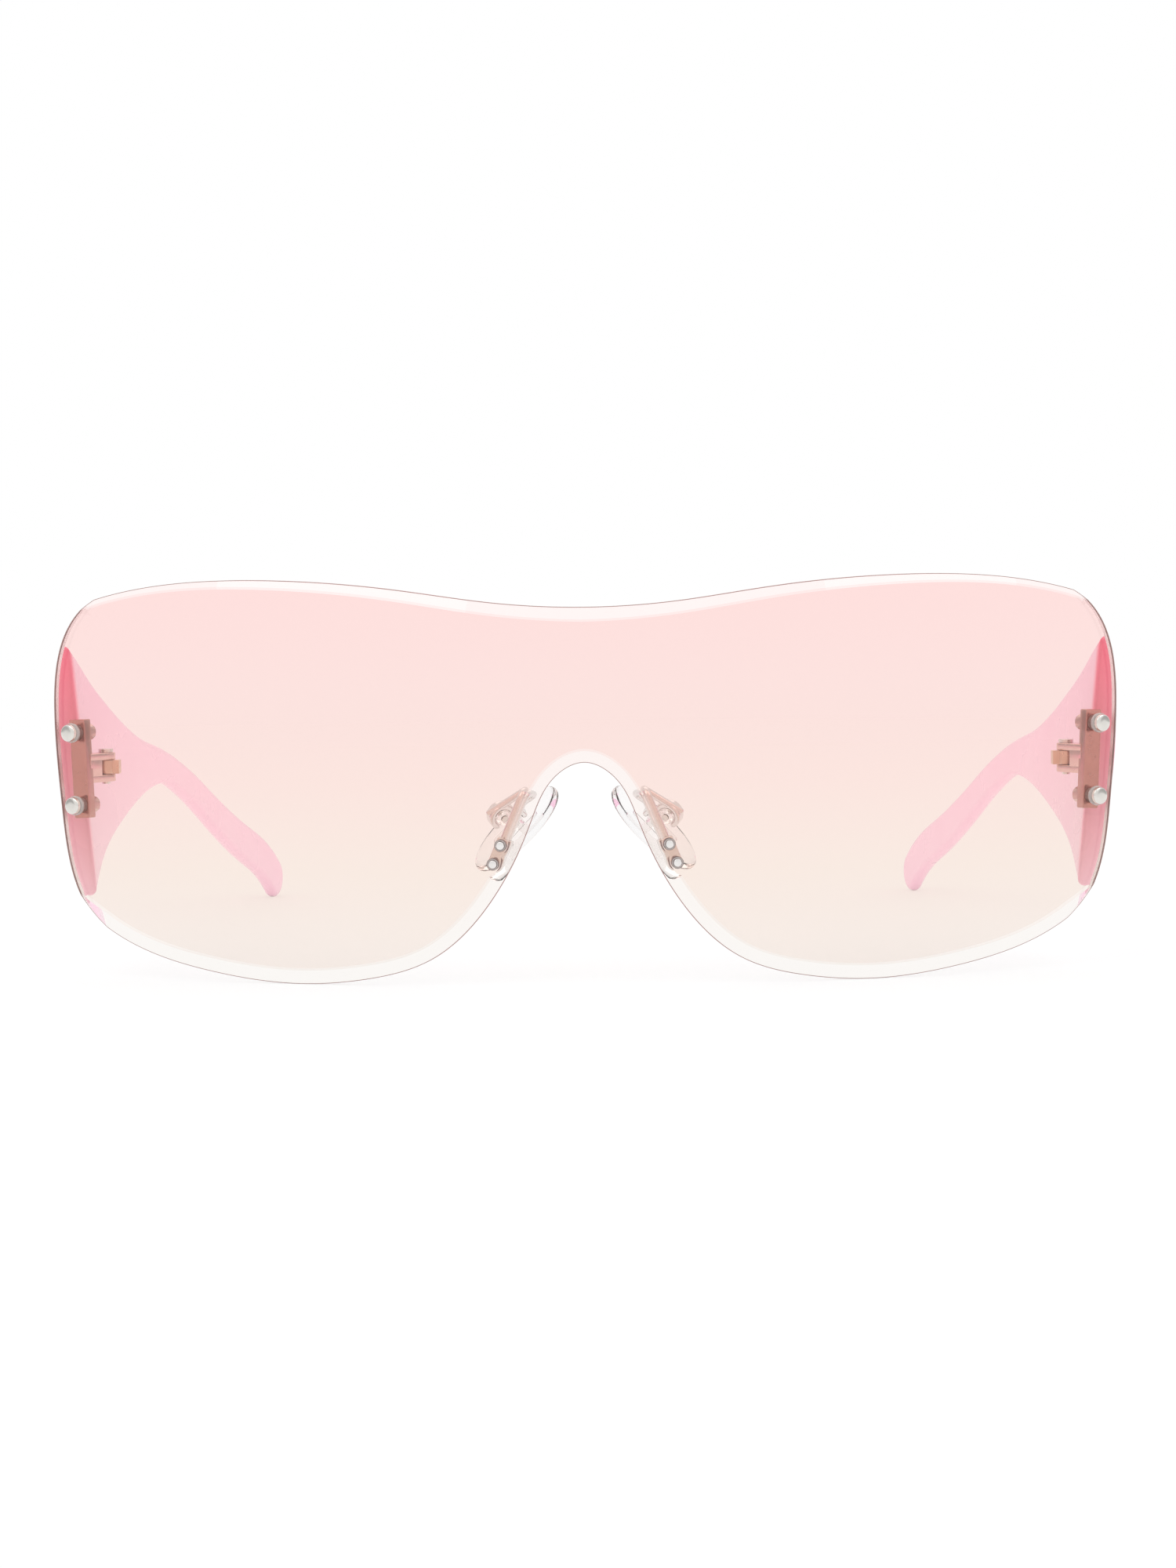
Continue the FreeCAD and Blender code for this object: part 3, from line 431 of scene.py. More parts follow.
def letLampsThrough(tree, shader, output, tint, caught=None):
    # glass that passes the lamps' rays, tinted, instead of throwing a black shadow; rays that have turned
    # more often than caught are let out as well, so that the sheet doesn't trap them
    clear = tree.nodes.new("ShaderNodeBsdfTransparent")
    clear.inputs["Color"].default_value = tint
    rays = tree.nodes.new("ShaderNodeLightPath")
    passed = rays.outputs["Is Shadow Ray"]
    if caught is not None:
        often = calculated(tree, "GREATER_THAN", rays.outputs["Ray Depth"], caught)
        passed = calculated(tree, "MAXIMUM", passed, often)
    mixed = mixShaders(tree, passed, shader.outputs["BSDF"], clear.outputs["BSDF"])
    tree.links.new(mixed, output.inputs["Surface"])


lensFinish = {
    "top": rgba(1.0, 0.735, 0.715), "high": rgba(0.98, 0.755, 0.725), "middle": rgba(0.955, 0.765, 0.715),
    "low": rgba(0.915, 0.795, 0.725), "bottom": rgba(0.895, 0.825, 0.77), "facet": rgba(1.0, 1.0, 0.99),
    # edge and edgeShade are the painted shade of the lens's dark outline, on the arris, the front of the cut edge and
    # the hole walls
    "facetShare": 0.62, "edge": rgba(0.41, 0.26, 0.24), "edgeShade": rgba(0.33, 0.20, 0.18), "refraction": 1.58,
    "stops": (("bottom", 0.05), ("low", 0.28), ("middle", 0.5), ("high", 0.74), ("top", 0.95)),
    "shadow": rgba(0.97, 0.9, 0.88), "caught": 4.5,
}


def makeLensTint():
    # a dye gradient from rose at the top to cream at the bottom, mixed with white where zone is 1, on the facets
    material, tree, shader, output = newMaterial("lensTint")
    ramp = tree.nodes.new("ShaderNodeValToRGB")
    stops = lensFinish["stops"]
    while len(ramp.color_ramp.elements) < len(stops):
        ramp.color_ramp.elements.new(0.5)
    for element, (name, position) in zip(ramp.color_ramp.elements, stops):
        element.position = position
        element.color = lensFinish[name]
    height = alongAxis(tree, objectCoordinates(tree), "Z")
    tree.links.new(mapped(tree, height, From_Min=0.0, From_Max=cadHigh.z), ramp.inputs["Fac"])
    pale = mixColours(tree, lensFinish["facetShare"], ramp.outputs["Color"], lensFinish["facet"])
    tree.links.new(mixColours(tree, zoneMask(tree), ramp.outputs["Color"], pale), shader.inputs["Base Color"])
    addGrain(tree, shader, grainScale=900, patchScale=40, low=0.0, high=0.008, bumpStrength=0.003,
             bumpDistance=0.004 * mm)
    setSockets(shader, IOR=lensFinish["refraction"], Transmission_Weight=1.0)
    letLampsThrough(tree, shader, output, lensFinish["shadow"], lensFinish["caught"])
    return material


def makeLensEdge():
    # fine-ground arris, front of the cut edge and walls of the holes: matte, and dark brown as painted shade, a line
    # standing in for the dark outline of the lens's edge
    material, tree, shader, output = newMaterial("lensEdge")
    grain = addGrain(tree, shader, grainScale=5000, patchScale=250, low=0.45, high=0.6, bumpStrength=0.2,
                     bumpDistance=0.01 * mm)
    tone = mixColours(tree, grain.outputs["Patches"], lensFinish["edge"], lensFinish["edgeShade"])
    tree.links.new(tone, shader.inputs["Base Color"])
    return material


clearLooks = {
    "lensGround": {"colour": rgba(0.92, 0.55, 0.57), "refraction": lensFinish["refraction"], "low": 0.4, "high": 0.55,
                   "clarity": 1.0},
    "clearPlastic": {"colour": rgba(0.96, 0.86, 0.83), "refraction": 1.35, "low": 0.1, "high": 0.2, "clarity": 0.55},
    "clearCore": {"colour": rgba(0.97, 0.95, 0.94), "refraction": 1.12, "low": 0.05, "high": 0.12, "clarity": 1.0},
    "clearSilicone": {"colour": rgba(0.985, 0.975, 0.975), "refraction": 1.3, "low": 0.03, "high": 0.1, "clarity": 1.0},
}
clearHaze = {"share": 0.94, "shadow": rgba(0.95, 0.94, 0.93)}


def makeClear(name, colour, refraction, low, high, clarity):
    # see-through plastic with slow haze; the rest of its clarity is milky
    material, tree, shader, output = newMaterial(name)
    grain = addGrain(tree, shader, grainScale=2500, patchScale=300, low=low, high=high, bumpStrength=0.05,
                     bumpDistance=0.02 * mm)
    hazed = tuple(clearHaze["share"] * channel for channel in colour[:3]) + (1.0,)
    tree.links.new(mixColours(tree, grain.outputs["Patches"], colour, hazed), shader.inputs["Base Color"])
    setSockets(shader, IOR=refraction, Transmission_Weight=clarity)
    letLampsThrough(tree, shader, output, clearHaze["shadow"])
    return material


metalLooks = {
    "silverSteel": {"colour": rgba(0.80, 0.78, 0.74), "shade": rgba(0.72, 0.69, 0.65), "low": 0.12, "high": 0.22},
    "roseMetal": {"colour": rgba(0.72, 0.50, 0.45), "shade": rgba(0.64, 0.42, 0.37), "low": 0.16, "high": 0.28},
    # the bracket's rose metal as a darker copy on the bar, painted shade, with a lighter tone on the fork, a painted
    # highlight
    "roseBracket": {"colour": rgba(0.62, 0.37, 0.32), "shade": rgba(0.54, 0.30, 0.26), "low": 0.16, "high": 0.28,
                    "paintedHighlight": rgba(0.80, 0.56, 0.51)},
    "roseSilver": {"colour": rgba(0.86, 0.84, 0.825), "shade": rgba(0.78, 0.75, 0.735), "low": 0.1, "high": 0.2},
    "brassLeaf": {"colour": rgba(0.80, 0.58, 0.44), "shade": rgba(0.70, 0.48, 0.35), "low": 0.25, "high": 0.38},
}


def makeMetal(name, colour, shade, low, high, paintedHighlight=None):
    # polished metal: slow patches between two tones, fine polishing grain in the bump; zone 1 takes a lighter tone, a
    # painted highlight
    material, tree, shader, output = newMaterial(name)
    grain = addGrain(tree, shader, grainScale=6000, patchScale=700, low=low, high=high, bumpStrength=0.08,
                     bumpDistance=0.01 * mm)
    tone = mixColours(tree, grain.outputs["Patches"], colour, shade)
    if paintedHighlight is not None:
        tone = mixColours(tree, zoneMask(tree), tone, paintedHighlight)
    tree.links.new(tone, shader.inputs["Base Color"])
    setSockets(shader, Metallic=1.0)
    return material


# the two front colours are a painted edge glow: light through the translucent plastic, painted into its cut front end
templeFinish = {
    "pale": rgba(0.99, 0.695, 0.855), "rich": rgba(0.99, 0.645, 0.82), "paintedGlowTop": rgba(1.0, 0.21, 0.34),
    "paintedGlowLow": rgba(1.0, 0.66, 0.80), "frontStart": 0.3 * mm, "frontReach": 2.2 * mm,
    "riseLow": 0.3, "riseHigh": 1.5,  # shares of the hinge's height
}


def makePinkPlastic(frontY):
    # moulded candy-pink plastic with slow flow streaks; the cut front end carries a painted edge glow, a deep pink,
    # most at its top
    material, tree, shader, output = newMaterial("pinkPlastic")
    look = templeFinish
    grain = addGrain(tree, shader, grainScale=3000, patchScale=60, low=0.24, high=0.32, bumpStrength=0.02,
                     bumpDistance=0.012 * mm)
    flow = mixColours(tree, grain.outputs["Patches"], look["pale"], look["rich"])
    where = objectCoordinates(tree)
    fade = mapped(tree, alongAxis(tree, where, "Y"), "SMOOTHSTEP", From_Min=frontY + look["frontStart"],
                  From_Max=frontY + look["frontReach"], To_Min=1.0, To_Max=0.0)
    rise = mapped(tree, alongAxis(tree, where, "Z"), From_Min=look["riseLow"] * hinge[2],
                  From_Max=look["riseHigh"] * hinge[2])
    # painted edge glow: deep pink at the top of the front end, paler lower down
    front = mixColours(tree, rise, look["paintedGlowLow"], look["paintedGlowTop"])
    tree.links.new(mixColours(tree, fade, flow, front), shader.inputs["Base Color"])
    setSockets(shader, IOR=1.5, Coat_Weight=0.25, Coat_Roughness=0.08)
    return material


# Lens: one sheet bent round an upright axis, with ground facets, drilled holes and a nose notch

lensShape = {
    "width": 146.2 * mm, "height": 54.35 * mm, "radius": 130 * mm, "thickness": 1.8 * mm,
    "notchWidth": 42.0 * mm, "notchHeight": 29.8 * mm, "seat": 0.02 * mm,
    "topFacet": 1.95 * mm, "topFacetEnd": 0.8 * mm, "bottomFacet": 2.1 * mm, "notchFacet": 1.8 * mm,
    "facetAngle": 25.0, "matteShare": 0.4, "arris": 0.09 * mm, "plainRim": 0.3 * mm, "fillStep": 1.5 * mm,
    "holeRoom": 0.15 * mm, "leastFacet": 0.02 * mm, "leastTurn": 0.35, "fillRoom": 0.55, "easing": 5, "holePoints": 44,
    "topPoints": 300, "sidePoints": 130, "bottomPoints": 480,
    "topCorner": (0.919, 0.953), "lowCorner": (0.908, 0.125),
    "topShares": ((0, 0.929), (0.171, 0.942), (0.342, 0.974), (0.602, 1.0), (0.814, 0.984)),
    "sideShares": ((0.975, 0.868), (1.0, 0.662), (0.988, 0.432), (0.949, 0.197)),
    "lobeShares": ((0.819, 0.066), (0.698, 0.024), (0.534, 0), (0.402, 0.015)),
    "notchShares": ((1.0, 0.114), (0.6, 0.383), (0.419, 0.607), (0.338, 0.745), (0.21, 0.919), (0, 1.0)),
}
lensAxisY = cadLow.y + lensShape["radius"]


def onLens(flat, depth):
    # front-view points (x, height) on the lens, pushed a depth in towards the bending axis
    angle = np.arcsin(flat[:, 0] / lensShape["radius"])
    radius = lensShape["radius"] - depth
    return np.column_stack([radius * np.sin(angle), lensAxisY - radius * np.cos(angle), flat[:, 1]])


def lensSpot(offset, height, depth, tilt=0.0):
    # directions: across the lens, inwards through it, and up along it, tilted in the lens
    angle = math.asin(offset / lensShape["radius"])
    origin = onLens(np.array([[offset, height]]), depth)[0]
    across = np.array([math.cos(angle), math.sin(angle), 0])
    inward = np.array([-math.sin(angle), math.cos(angle), 0])
    lean = math.radians(tilt)
    return spot(origin, across * math.cos(lean) + upward * math.sin(lean), inward,
                upward * math.cos(lean) - across * math.sin(lean))


def lensOutline(holes):
    # the edge seen from the front, clockwise from the upper left corner, with the facet's width and depth at each point
    halfWidth, height = lensShape["width"] / 2, lensShape["height"]
    scale = np.array([halfWidth, height])
    flip = np.array([-1, 1])
    topHalf = np.array(lensShape["topShares"] + (lensShape["topCorner"],)) * scale
    side = np.array((lensShape["topCorner"],) + lensShape["sideShares"] + (lensShape["lowCorner"],)) * scale
    lobe = np.array((lensShape["lowCorner"],) + lensShape["lobeShares"]) * scale
    notch = np.array(lensShape["notchShares"]) * np.array([lensShape["notchWidth"] / 2, lensShape["notchHeight"]])
    bottomHalf = np.vstack([lobe, notch])
    top = smoothThrough(np.vstack([topHalf[:0:-1] * flip, topHalf]), lensShape["topPoints"])
    down = smoothThrough(side, lensShape["sidePoints"])
    bottom = smoothThrough(np.vstack([bottomHalf, bottomHalf[-2::-1] * flip]), lensShape["bottomPoints"])
    slope = math.tan(math.radians(lensShape["facetAngle"]))
    aside = np.abs(top[:, 0]) / halfWidth
    topWidth = lensShape["topFacet"] * (1 - aside) + lensShape["topFacetEnd"] * aside
    rise = bottom[:, 1] / lensShape["notchHeight"]
    bottomWidth = lensShape["bottomFacet"] * (1 - rise) + lensShape["notchFacet"] * rise
    for offset, level, radius in holes:  # the facet narrows past a hole
        room = np.hypot(bottom[:, 0] - offset, bottom[:, 1] - level) - radius - lensShape["holeRoom"]
        bottomWidth = np.minimum(bottomWidth, room)

    def inwardOf(run):
        run = run / np.linalg.norm(run)
        return np.array([run[1], -run[0]])

    # past each corner the facet runs straight on, and leaves the lens where the side falls away from it
    run = np.gradient(down, axis=0)
    sideInward = np.stack([run[:, 1], -run[:, 0]], -1) / np.linalg.norm(run, axis=1, keepdims=True)
    reach = np.zeros(len(down))
    spread = np.zeros(len(down))
    for corner, inward, width in ((top[-1], inwardOf(top[-1] - top[-3]), topWidth[-1]),
                                  (bottom[0], inwardOf(bottom[2] - bottom[0]), bottomWidth[0])):
        left = np.clip(width - (down - corner) @ inward, 0, width)
        left[(down - corner) @ inward < 0] = 0
        reach = np.maximum(reach, left)
        spread = np.maximum(spread, left / np.clip(sideInward @ inward, lensShape["leastTurn"], 1))
    loop = np.vstack([top[:-1], down[:-1], bottom[:-1], down[:0:-1] * flip])
    depth = np.concatenate([topWidth[:-1], reach[:-1], bottomWidth[:-1], reach[:0:-1]]) * slope
    width = np.concatenate([topWidth[:-1], spread[:-1], bottomWidth[:-1], spread[:0:-1]])
    return loop, np.maximum(width, lensShape["plainRim"]), depth


def nearest(points, others):
    # each point's distance from the closest of the others
    return np.sqrt(((points[:, None] - others[None]) ** 2).sum(-1).min(1))


def holesAt(places, radius):
    # front-view middles of round holes, square to the lens at each place and at its mirror image
    holes = []
    for place in places:
        x, y, z = place["origin"]
        across = lensShape["radius"] * math.sin(math.atan2(x, lensAxisY - y))
        holes += [(sign * across, z, radius) for sign in sides.values()]
    return holes


def lensPiece(holes):
    # front face, facets, cut edge, back face and the walls of the holes, sewn into one closed sheet; zone is 0 on
    # the tinted faces, 1 on the facets, 2 on matte arris, edge and hole walls painted dark as shade, 3 on the frosted
    # rest of the edge
    loop, width, depth = lensOutline(holes)
    easing = lensShape["easing"]
    run = np.roll(loop, -1, 0) - np.roll(loop, 1, 0)
    # headings are eased, so that the rim stays open at the corners
    run = sum(np.roll(run, shift, 0) for shift in range(-easing, easing + 1))
    run /= np.linalg.norm(run, axis=1, keepdims=True)
    rim = loop + np.stack([run[:, 1], -run[:, 0]], -1) * width[:, None]
    rings = []
    for offset, height, radius in holes:
        angle = np.linspace(0, 2 * math.pi, lensShape["holePoints"], endpoint=False)
        bearing = math.asin(offset / lensShape["radius"]) + radius * np.cos(angle) / lensShape["radius"]
        rings.append(np.stack([lensShape["radius"] * np.sin(bearing), height + radius * np.sin(angle)], -1))
    step = lensShape["fillStep"]
    across = np.arange(-lensShape["width"] / 2, lensShape["width"] / 2, step)
    levels = np.arange(0, lensShape["height"], step)
    fill = np.stack(np.meshgrid(across, levels, indexing="ij"), -1)
    fill[:, ::2, 0] += step / 2
    fill = fill.reshape(-1, 2)
    fill = fill[insideLoop(fill, rim)]
    fill = fill[nearest(fill, np.vstack([rim] + rings)) > lensShape["fillRoom"] * step]
    for offset, height, radius in holes:
        fill = fill[np.hypot(fill[:, 0] - offset, fill[:, 1] - height) > radius]
    flat, triangles = fillLoops([rim] + rings, fill)
    thick = lensShape["thickness"]
    front, back = onLens(flat, 0), onLens(flat, thick)
    matte = depth + (thick - depth) * lensShape["matteShare"]
    share = np.minimum(lensShape["arris"] / width, 1.0)
    arris = loop + (rim - loop) * share[:, None]
    band = np.vstack([onLens(rim, 0), onLens(arris, depth * (1 - share))]
                     + [onLens(loop, deep) for deep in (depth, matte, thick)] + [onLens(rim, thick)])
    quads = gridQuads(6, len(loop), True)
    shapes = [(front, [triangles]), (back, [triangles[:, ::-1]]), (band, [quads])]
    cut = np.where(depth > lensShape["leastFacet"], 1.0, 0.0)
    zones = [np.zeros(len(triangles) * 2), cut, np.full(len(loop) * 2, 2.0), np.full(len(loop), 3.0), cut]
    for ring in rings:
        shapes.append((np.vstack([onLens(ring, 0), onLens(ring, thick)]), [gridQuads(2, len(ring), True)]))
        zones.append(np.full(len(ring), 2.0))
    return joined(*shapes), np.concatenate(zones)


# Bolted bracket, hinge and their fasteners, all measured from the lens's back at the bolts' place

bracketShape = {
    "inset": 2.9 * mm, "pitch": 10.0 * mm, "tilt": 3.0, "width": 2.6 * mm, "height": 13.6 * mm, "thick": 1.4 * mm,
    "reach": 4.3 * mm, "span": 4.0 * mm, "knuckle": 1.3 * mm, "slot": 2.02 * mm, "slotDepth": 2.35 * mm,
    "bore": 0.58 * mm, "boltHole": 0.73 * mm, "bevel": 0.12 * mm, "sink": 0.5 * mm,
    "corner": 0.25 * mm, "blockCorner": 0.05 * mm, "blockBevel": 0.02 * mm,
}
boltShape = {
    "head": 1.175 * mm, "headHeight": 0.8 * mm, "dome": 0.3 * mm, "shank": 0.7 * mm, "end": 0.4 * mm,
    "flange": 1.35 * mm, "flangeThick": 0.5 * mm, "sleeve": 1.03 * mm, "nutFlats": 2.2 * mm, "nutThick": 1.25 * mm,
    "endRound": 0.15 * mm, "bushingRound": 0.1 * mm, "nutChamfer": 0.16 * mm, "nutTop": 1.02,
}
hinge = jointPlace["temple_left_fold"]
boltOffset = lensShape["width"] / 2 - bracketShape["inset"]
seatDepth = lensShape["thickness"] + lensShape["seat"]
bracketSpot = lensSpot(boltOffset, hinge[2], seatDepth)
barSpot = lensSpot(boltOffset, hinge[2], seatDepth, -bracketShape["tilt"])  # the bar leans outwards
boltSpots = [spot(barSpot["origin"] + barSpot["axes"][2] * sign * bracketShape["pitch"] / 2, *barSpot["axes"])
             for sign in (1, -1)]


def bracketPiece():
    # a bar with two bolt holes; behind it a block and the two outer knuckles, rounded about the hinge's axis
    b = bracketShape
    across, inward, up = barSpot["axes"]
    origin = barSpot["origin"]
    hingeY = b["thick"] + b["reach"]
    barLoop = boxLoop(-b["width"] / 2, b["width"] / 2, -b["height"] / 2, b["height"] / 2, b["corner"])
    holes = [circleLoop(b["boltHole"], (0, sign * b["pitch"] / 2)) for sign in (1, -1)]
    bar = plate([barLoop] + holes, -b["thick"], 0, b["bevel"], spot(origin, across, up, -inward))
    level = bracketSpot
    root = b["thick"] - b["sink"]
    arc = arcLoop(b["knuckle"], np.linspace(0, math.pi, 25), (0, hingeY))
    lugLoop = np.vstack([[(-b["knuckle"], root), (b["knuckle"], root)], arc])
    bore = circleLoop(b["bore"], (0, hingeY))
    half, slotHalf = b["span"] / 2, b["slot"] / 2
    layers = ((slotHalf, half), (-half, -slotHalf))
    lugs = [plate([lugLoop, bore], low, high, b["bevel"], level) for low, high in layers]
    block = boxLoop(-b["knuckle"], b["knuckle"], root, hingeY - b["slotDepth"], b["blockCorner"])
    web = plate([block], -slotHalf - b["bevel"], slotHalf + b["bevel"], b["blockBevel"], level)
    # the fork is zone 1, which its material paints lighter as a painted highlight
    zone = np.repeat([0.0, 1.0, 1.0, 1.0], [sum(len(part) for part in faces) for points, faces in (bar, web, *lugs)])
    return joined(bar, web, *lugs), zone  # zone is 1 on the fork


def boltPiece(place):
    # domed head in front of the lens, shank through it, rounded end behind the nut
    under = -(seatDepth + boltShape["flangeThick"])
    turn = np.linspace(0, math.pi / 2, 12)
    front = under - boltShape["headHeight"]
    rise = 0.35 * np.sin(turn) ** 2 + 0.65 * (1 - np.cos(turn)) ** 2  # nearly flat, then round at the rim
    dome = np.stack([boltShape["head"] * np.sin(turn) ** 0.6, front + boltShape["dome"] * rise], -1)
    end = bracketShape["thick"] + boltShape["nutThick"] + boltShape["end"]
    shank = softened([(boltShape["head"], under), (boltShape["shank"], under), (boltShape["shank"], end), (0, end)],
                     boltShape["endRound"], 4, False)
    return lathe(np.vstack([dome, shank]), place)


def bushingPiece(place):
    # flange under the bolt's head, sleeve down into the lens, bore for the shank
    start = -(seatDepth + boltShape["flangeThick"])
    step, end = start + boltShape["flangeThick"], -lensShape["seat"]
    bore = bracketShape["boltHole"]
    ring = [(bore, start), (boltShape["flange"], start), (boltShape["flange"], step), (boltShape["sleeve"], step),
            (boltShape["sleeve"], end), (bore, end)]
    return ringLathe(ring, boltShape["bushingRound"], place)


def nutPiece(place):
    # hexagon whose outer corners are turned off to a cone
    turns = 72
    angle = np.linspace(0, 2 * math.pi, turns, endpoint=False)
    flats = boltShape["nutFlats"] / 2
    hexagon = flats / np.cos((angle + math.pi / 6) % (math.pi / 3) - math.pi / 6)
    low, high = bracketShape["thick"], bracketShape["thick"] + boltShape["nutThick"]
    bore = np.full(turns, bracketShape["boltHole"])
    cone = np.minimum(hexagon, flats * boltShape["nutTop"])
    shoulder = high - boltShape["nutChamfer"]
    rows = [(bore, low), (hexagon, low), (hexagon, shoulder), (cone, high), (bore, high), (bore, low)]
    local = [np.stack([r * np.cos(angle), np.full(turns, y), r * np.sin(angle)], -1) for r, y in rows]
    return placed(place, np.vstack(local)), [gridQuads(len(rows), turns, True)]


screwShape = {"pin": 0.55 * mm, "head": 1.0 * mm, "headHeight": 0.5 * mm, "slotWidth": 0.3 * mm,
              "slotDepth": 0.25 * mm, "tail": 0.35 * mm, "round": 0.08 * mm, "lap": 0.05 * mm}


def hingeScrewPiece():
    # pin down the hinge's axis, with a slotted head on top
    s = screwShape
    half = bracketShape["span"] / 2
    upright = spot(hinge, (0, 1, 0), upward, (1, 0, 0))
    floor = half + s["headHeight"] - s["slotDepth"]
    profile = softened([(0, -half - s["tail"]), (s["pin"], -half - s["tail"]), (s["pin"], half), (s["head"], half),
                        (s["head"], floor), (0, floor)], s["round"], 4, False)
    level = spot(hinge, (1, 0, 0), (0, 1, 0), upward)
    edge = math.asin(s["slotWidth"] / 2 / s["head"])
    moon = arcLoop(s["head"], np.linspace(edge, math.pi - edge, 25))
    top = half + s["headHeight"]
    halves = [plate([moon * sign], floor - s["lap"], top, s["round"], level) for sign in (1, -1)]
    return joined(lathe(profile, upright), *halves)


leafShape = {"toe": 6.0, "web": 0.7 * mm, "height": 1.9 * mm, "cover": 0.6 * mm, "anchor": 1.0 * mm,
             "end": 8.0 * mm, "tail": 1.95 * mm, "bevel": 0.1 * mm}


def hingeLeafPiece():
    # middle knuckle with a square tail, its web into the temple, and the anchor leg that is moulded in
    toe = math.radians(leafShape["toe"])
    web, knuckle, tail = leafShape["web"], bracketShape["knuckle"], -leafShape["tail"]
    face = templeFrontX - (hinge[1] - templeFrontY) * math.tan(toe) - hinge[0]
    face = face * math.cos(toe) + leafShape["cover"]
    deep = face + leafShape["anchor"]
    meet = math.asin(web / knuckle)
    crest = arcLoop(knuckle, np.linspace(meet, math.pi - meet, 20))
    loop = np.vstack([crest, [(tail, web), (tail, -web)], -crest,
                      [(deep, -web), (deep, leafShape["end"]), (face, leafShape["end"]), (face, web)]])
    level = spot(hinge, (math.cos(toe), math.sin(toe), 0), (-math.sin(toe), math.cos(toe), 0), upward)
    loops = [loop, circleLoop(bracketShape["bore"])]
    return plate(loops, -leafShape["height"] / 2, leafShape["height"] / 2, leafShape["bevel"], level)


# Temple: a domed section carried from the tall front end to the round ear tip

templeShape = {
    "inset": 4.0 * mm, "gap": 1.2 * mm, "frontHeight": 34.75 * mm, "frontThick": 4.1 * mm, "frontEdge": 1.95 * mm,
    "cant": 5.5, "toe": 6.0, "bendRadius": 500 * mm, "armHeight": 4.9 * mm, "armThick": 2.8 * mm,
    "armEdge": 2.0 * mm, "tipHeight": 6.4 * mm, "backY": 75.4 * mm, "bendShare": 0.477, "slopeShare": 0.35,
    "frontRound": 0.45 * mm, "rings": 170, "slopeEase": 8 * mm, "leastRise": 0.01 * mm, "tipRings": 33, "capRows": 5,
    "stations": (  # share of the length, middle as a share of the hinge's height, flare, swell
        (0, 0.986, 1.0, 0), (0.031, 0.984, 0.863, 0), (0.068, 0.975, 0.703, 0), (0.129, 0.962, 0.509, 0),
        (0.19, 0.946, 0.357, 0), (0.255, 0.933, 0.221, 0), (0.319, 0.923, 0.115, 0), (0.391, 0.912, 0.04, 0),
        (0.455, 0.884, 0, 0), (0.519, 0.824, 0, 0.03), (0.599, 0.728, 0, 0.18), (0.687, 0.596, 0, 0.4),
        (0.767, 0.472, 0, 0.65), (0.847, 0.354, 0, 0.85), (0.919, 0.247, 0, 0.95)),
}
templeFrontY = onLens(np.array([[lensShape["width"] / 2, 0]]), lensShape["thickness"])[0, 1] + templeShape["gap"]
templeFrontX = lensShape["width"] / 2 - templeShape["inset"]


def templeRows(count):
    # smooth curves through the stations: place along, middle height, flare and swell
    t = templeShape
    length = t["backY"] - templeFrontY
    tipRadius = t["tipHeight"] / 2
    last = (1 - tipRadius / length, tipRadius / hinge[2], 0, 1)
    stations = np.array(t["stations"] + (last,))
    share = np.linspace(0, stations[-1, 0], count)
    weights = np.array([1, 0.12, 0.12, 0.02])  # the spline's chord is measured mostly along the temple
    dense = smoothThrough(stations * weights, 1200) / weights
    rows = np.stack([np.interp(share, dense[:, 0], dense[:, column]) for column in (1, 2, 3)], -1)
    return templeFrontY + share * length, rows[:, 0] * hinge[2], np.clip(rows[:, 1], 0, 1), np.clip(rows[:, 2], 0, 1)


def templePlan(y):
    # inner face from above: straight with toe-in, then a wide arc
    t = templeShape
    toe = math.radians(t["toe"])
    bendY = templeFrontY + t["bendShare"] * (t["backY"] - templeFrontY)
    bendX = templeFrontX - (bendY - templeFrontY) * math.tan(toe)
    heading = np.arcsin(np.clip((y - bendY) / t["bendRadius"], 0, 1) + math.sin(toe))
    bent = bendX - t["bendRadius"] * (math.cos(toe) - np.cos(heading))
    return np.where(y <= bendY, templeFrontX - (y - templeFrontY) * math.tan(toe), bent), heading


def templeSection(tall, thick, edge, straightSteps=14, roundSteps=9, domeSteps=22):
    # half of the D-shaped section from the middle of the inner face over the top to the middle of the dome
    half, radius = tall / 2, edge / 2
    straight = half - radius
    face = np.linspace(0, 1, straightSteps, endpoint=False)
    faceRow = np.stack([0 * straight[:, None] + 0 * face, straight[:, None] * face], -1)
    turn = np.linspace(0, math.pi, roundSteps, endpoint=False)
    roundRow = np.stack([radius[:, None] * (1 - np.cos(turn)), straight[:, None] + radius[:, None] * np.sin(turn)], -1)
    rise = np.maximum(thick - edge, templeShape["leastRise"])
    bow = (straight ** 2 + rise ** 2) / (2 * rise)
    swing = np.arcsin(np.clip(straight / bow, -1, 1))
    sweep = swing[:, None] * np.linspace(1, 0, domeSteps)
    across = thick[:, None] - bow[:, None] * (1 - np.cos(sweep))
    return np.concatenate([faceRow, roundRow, np.stack([across, bow[:, None] * np.sin(sweep)], -1)], 1)


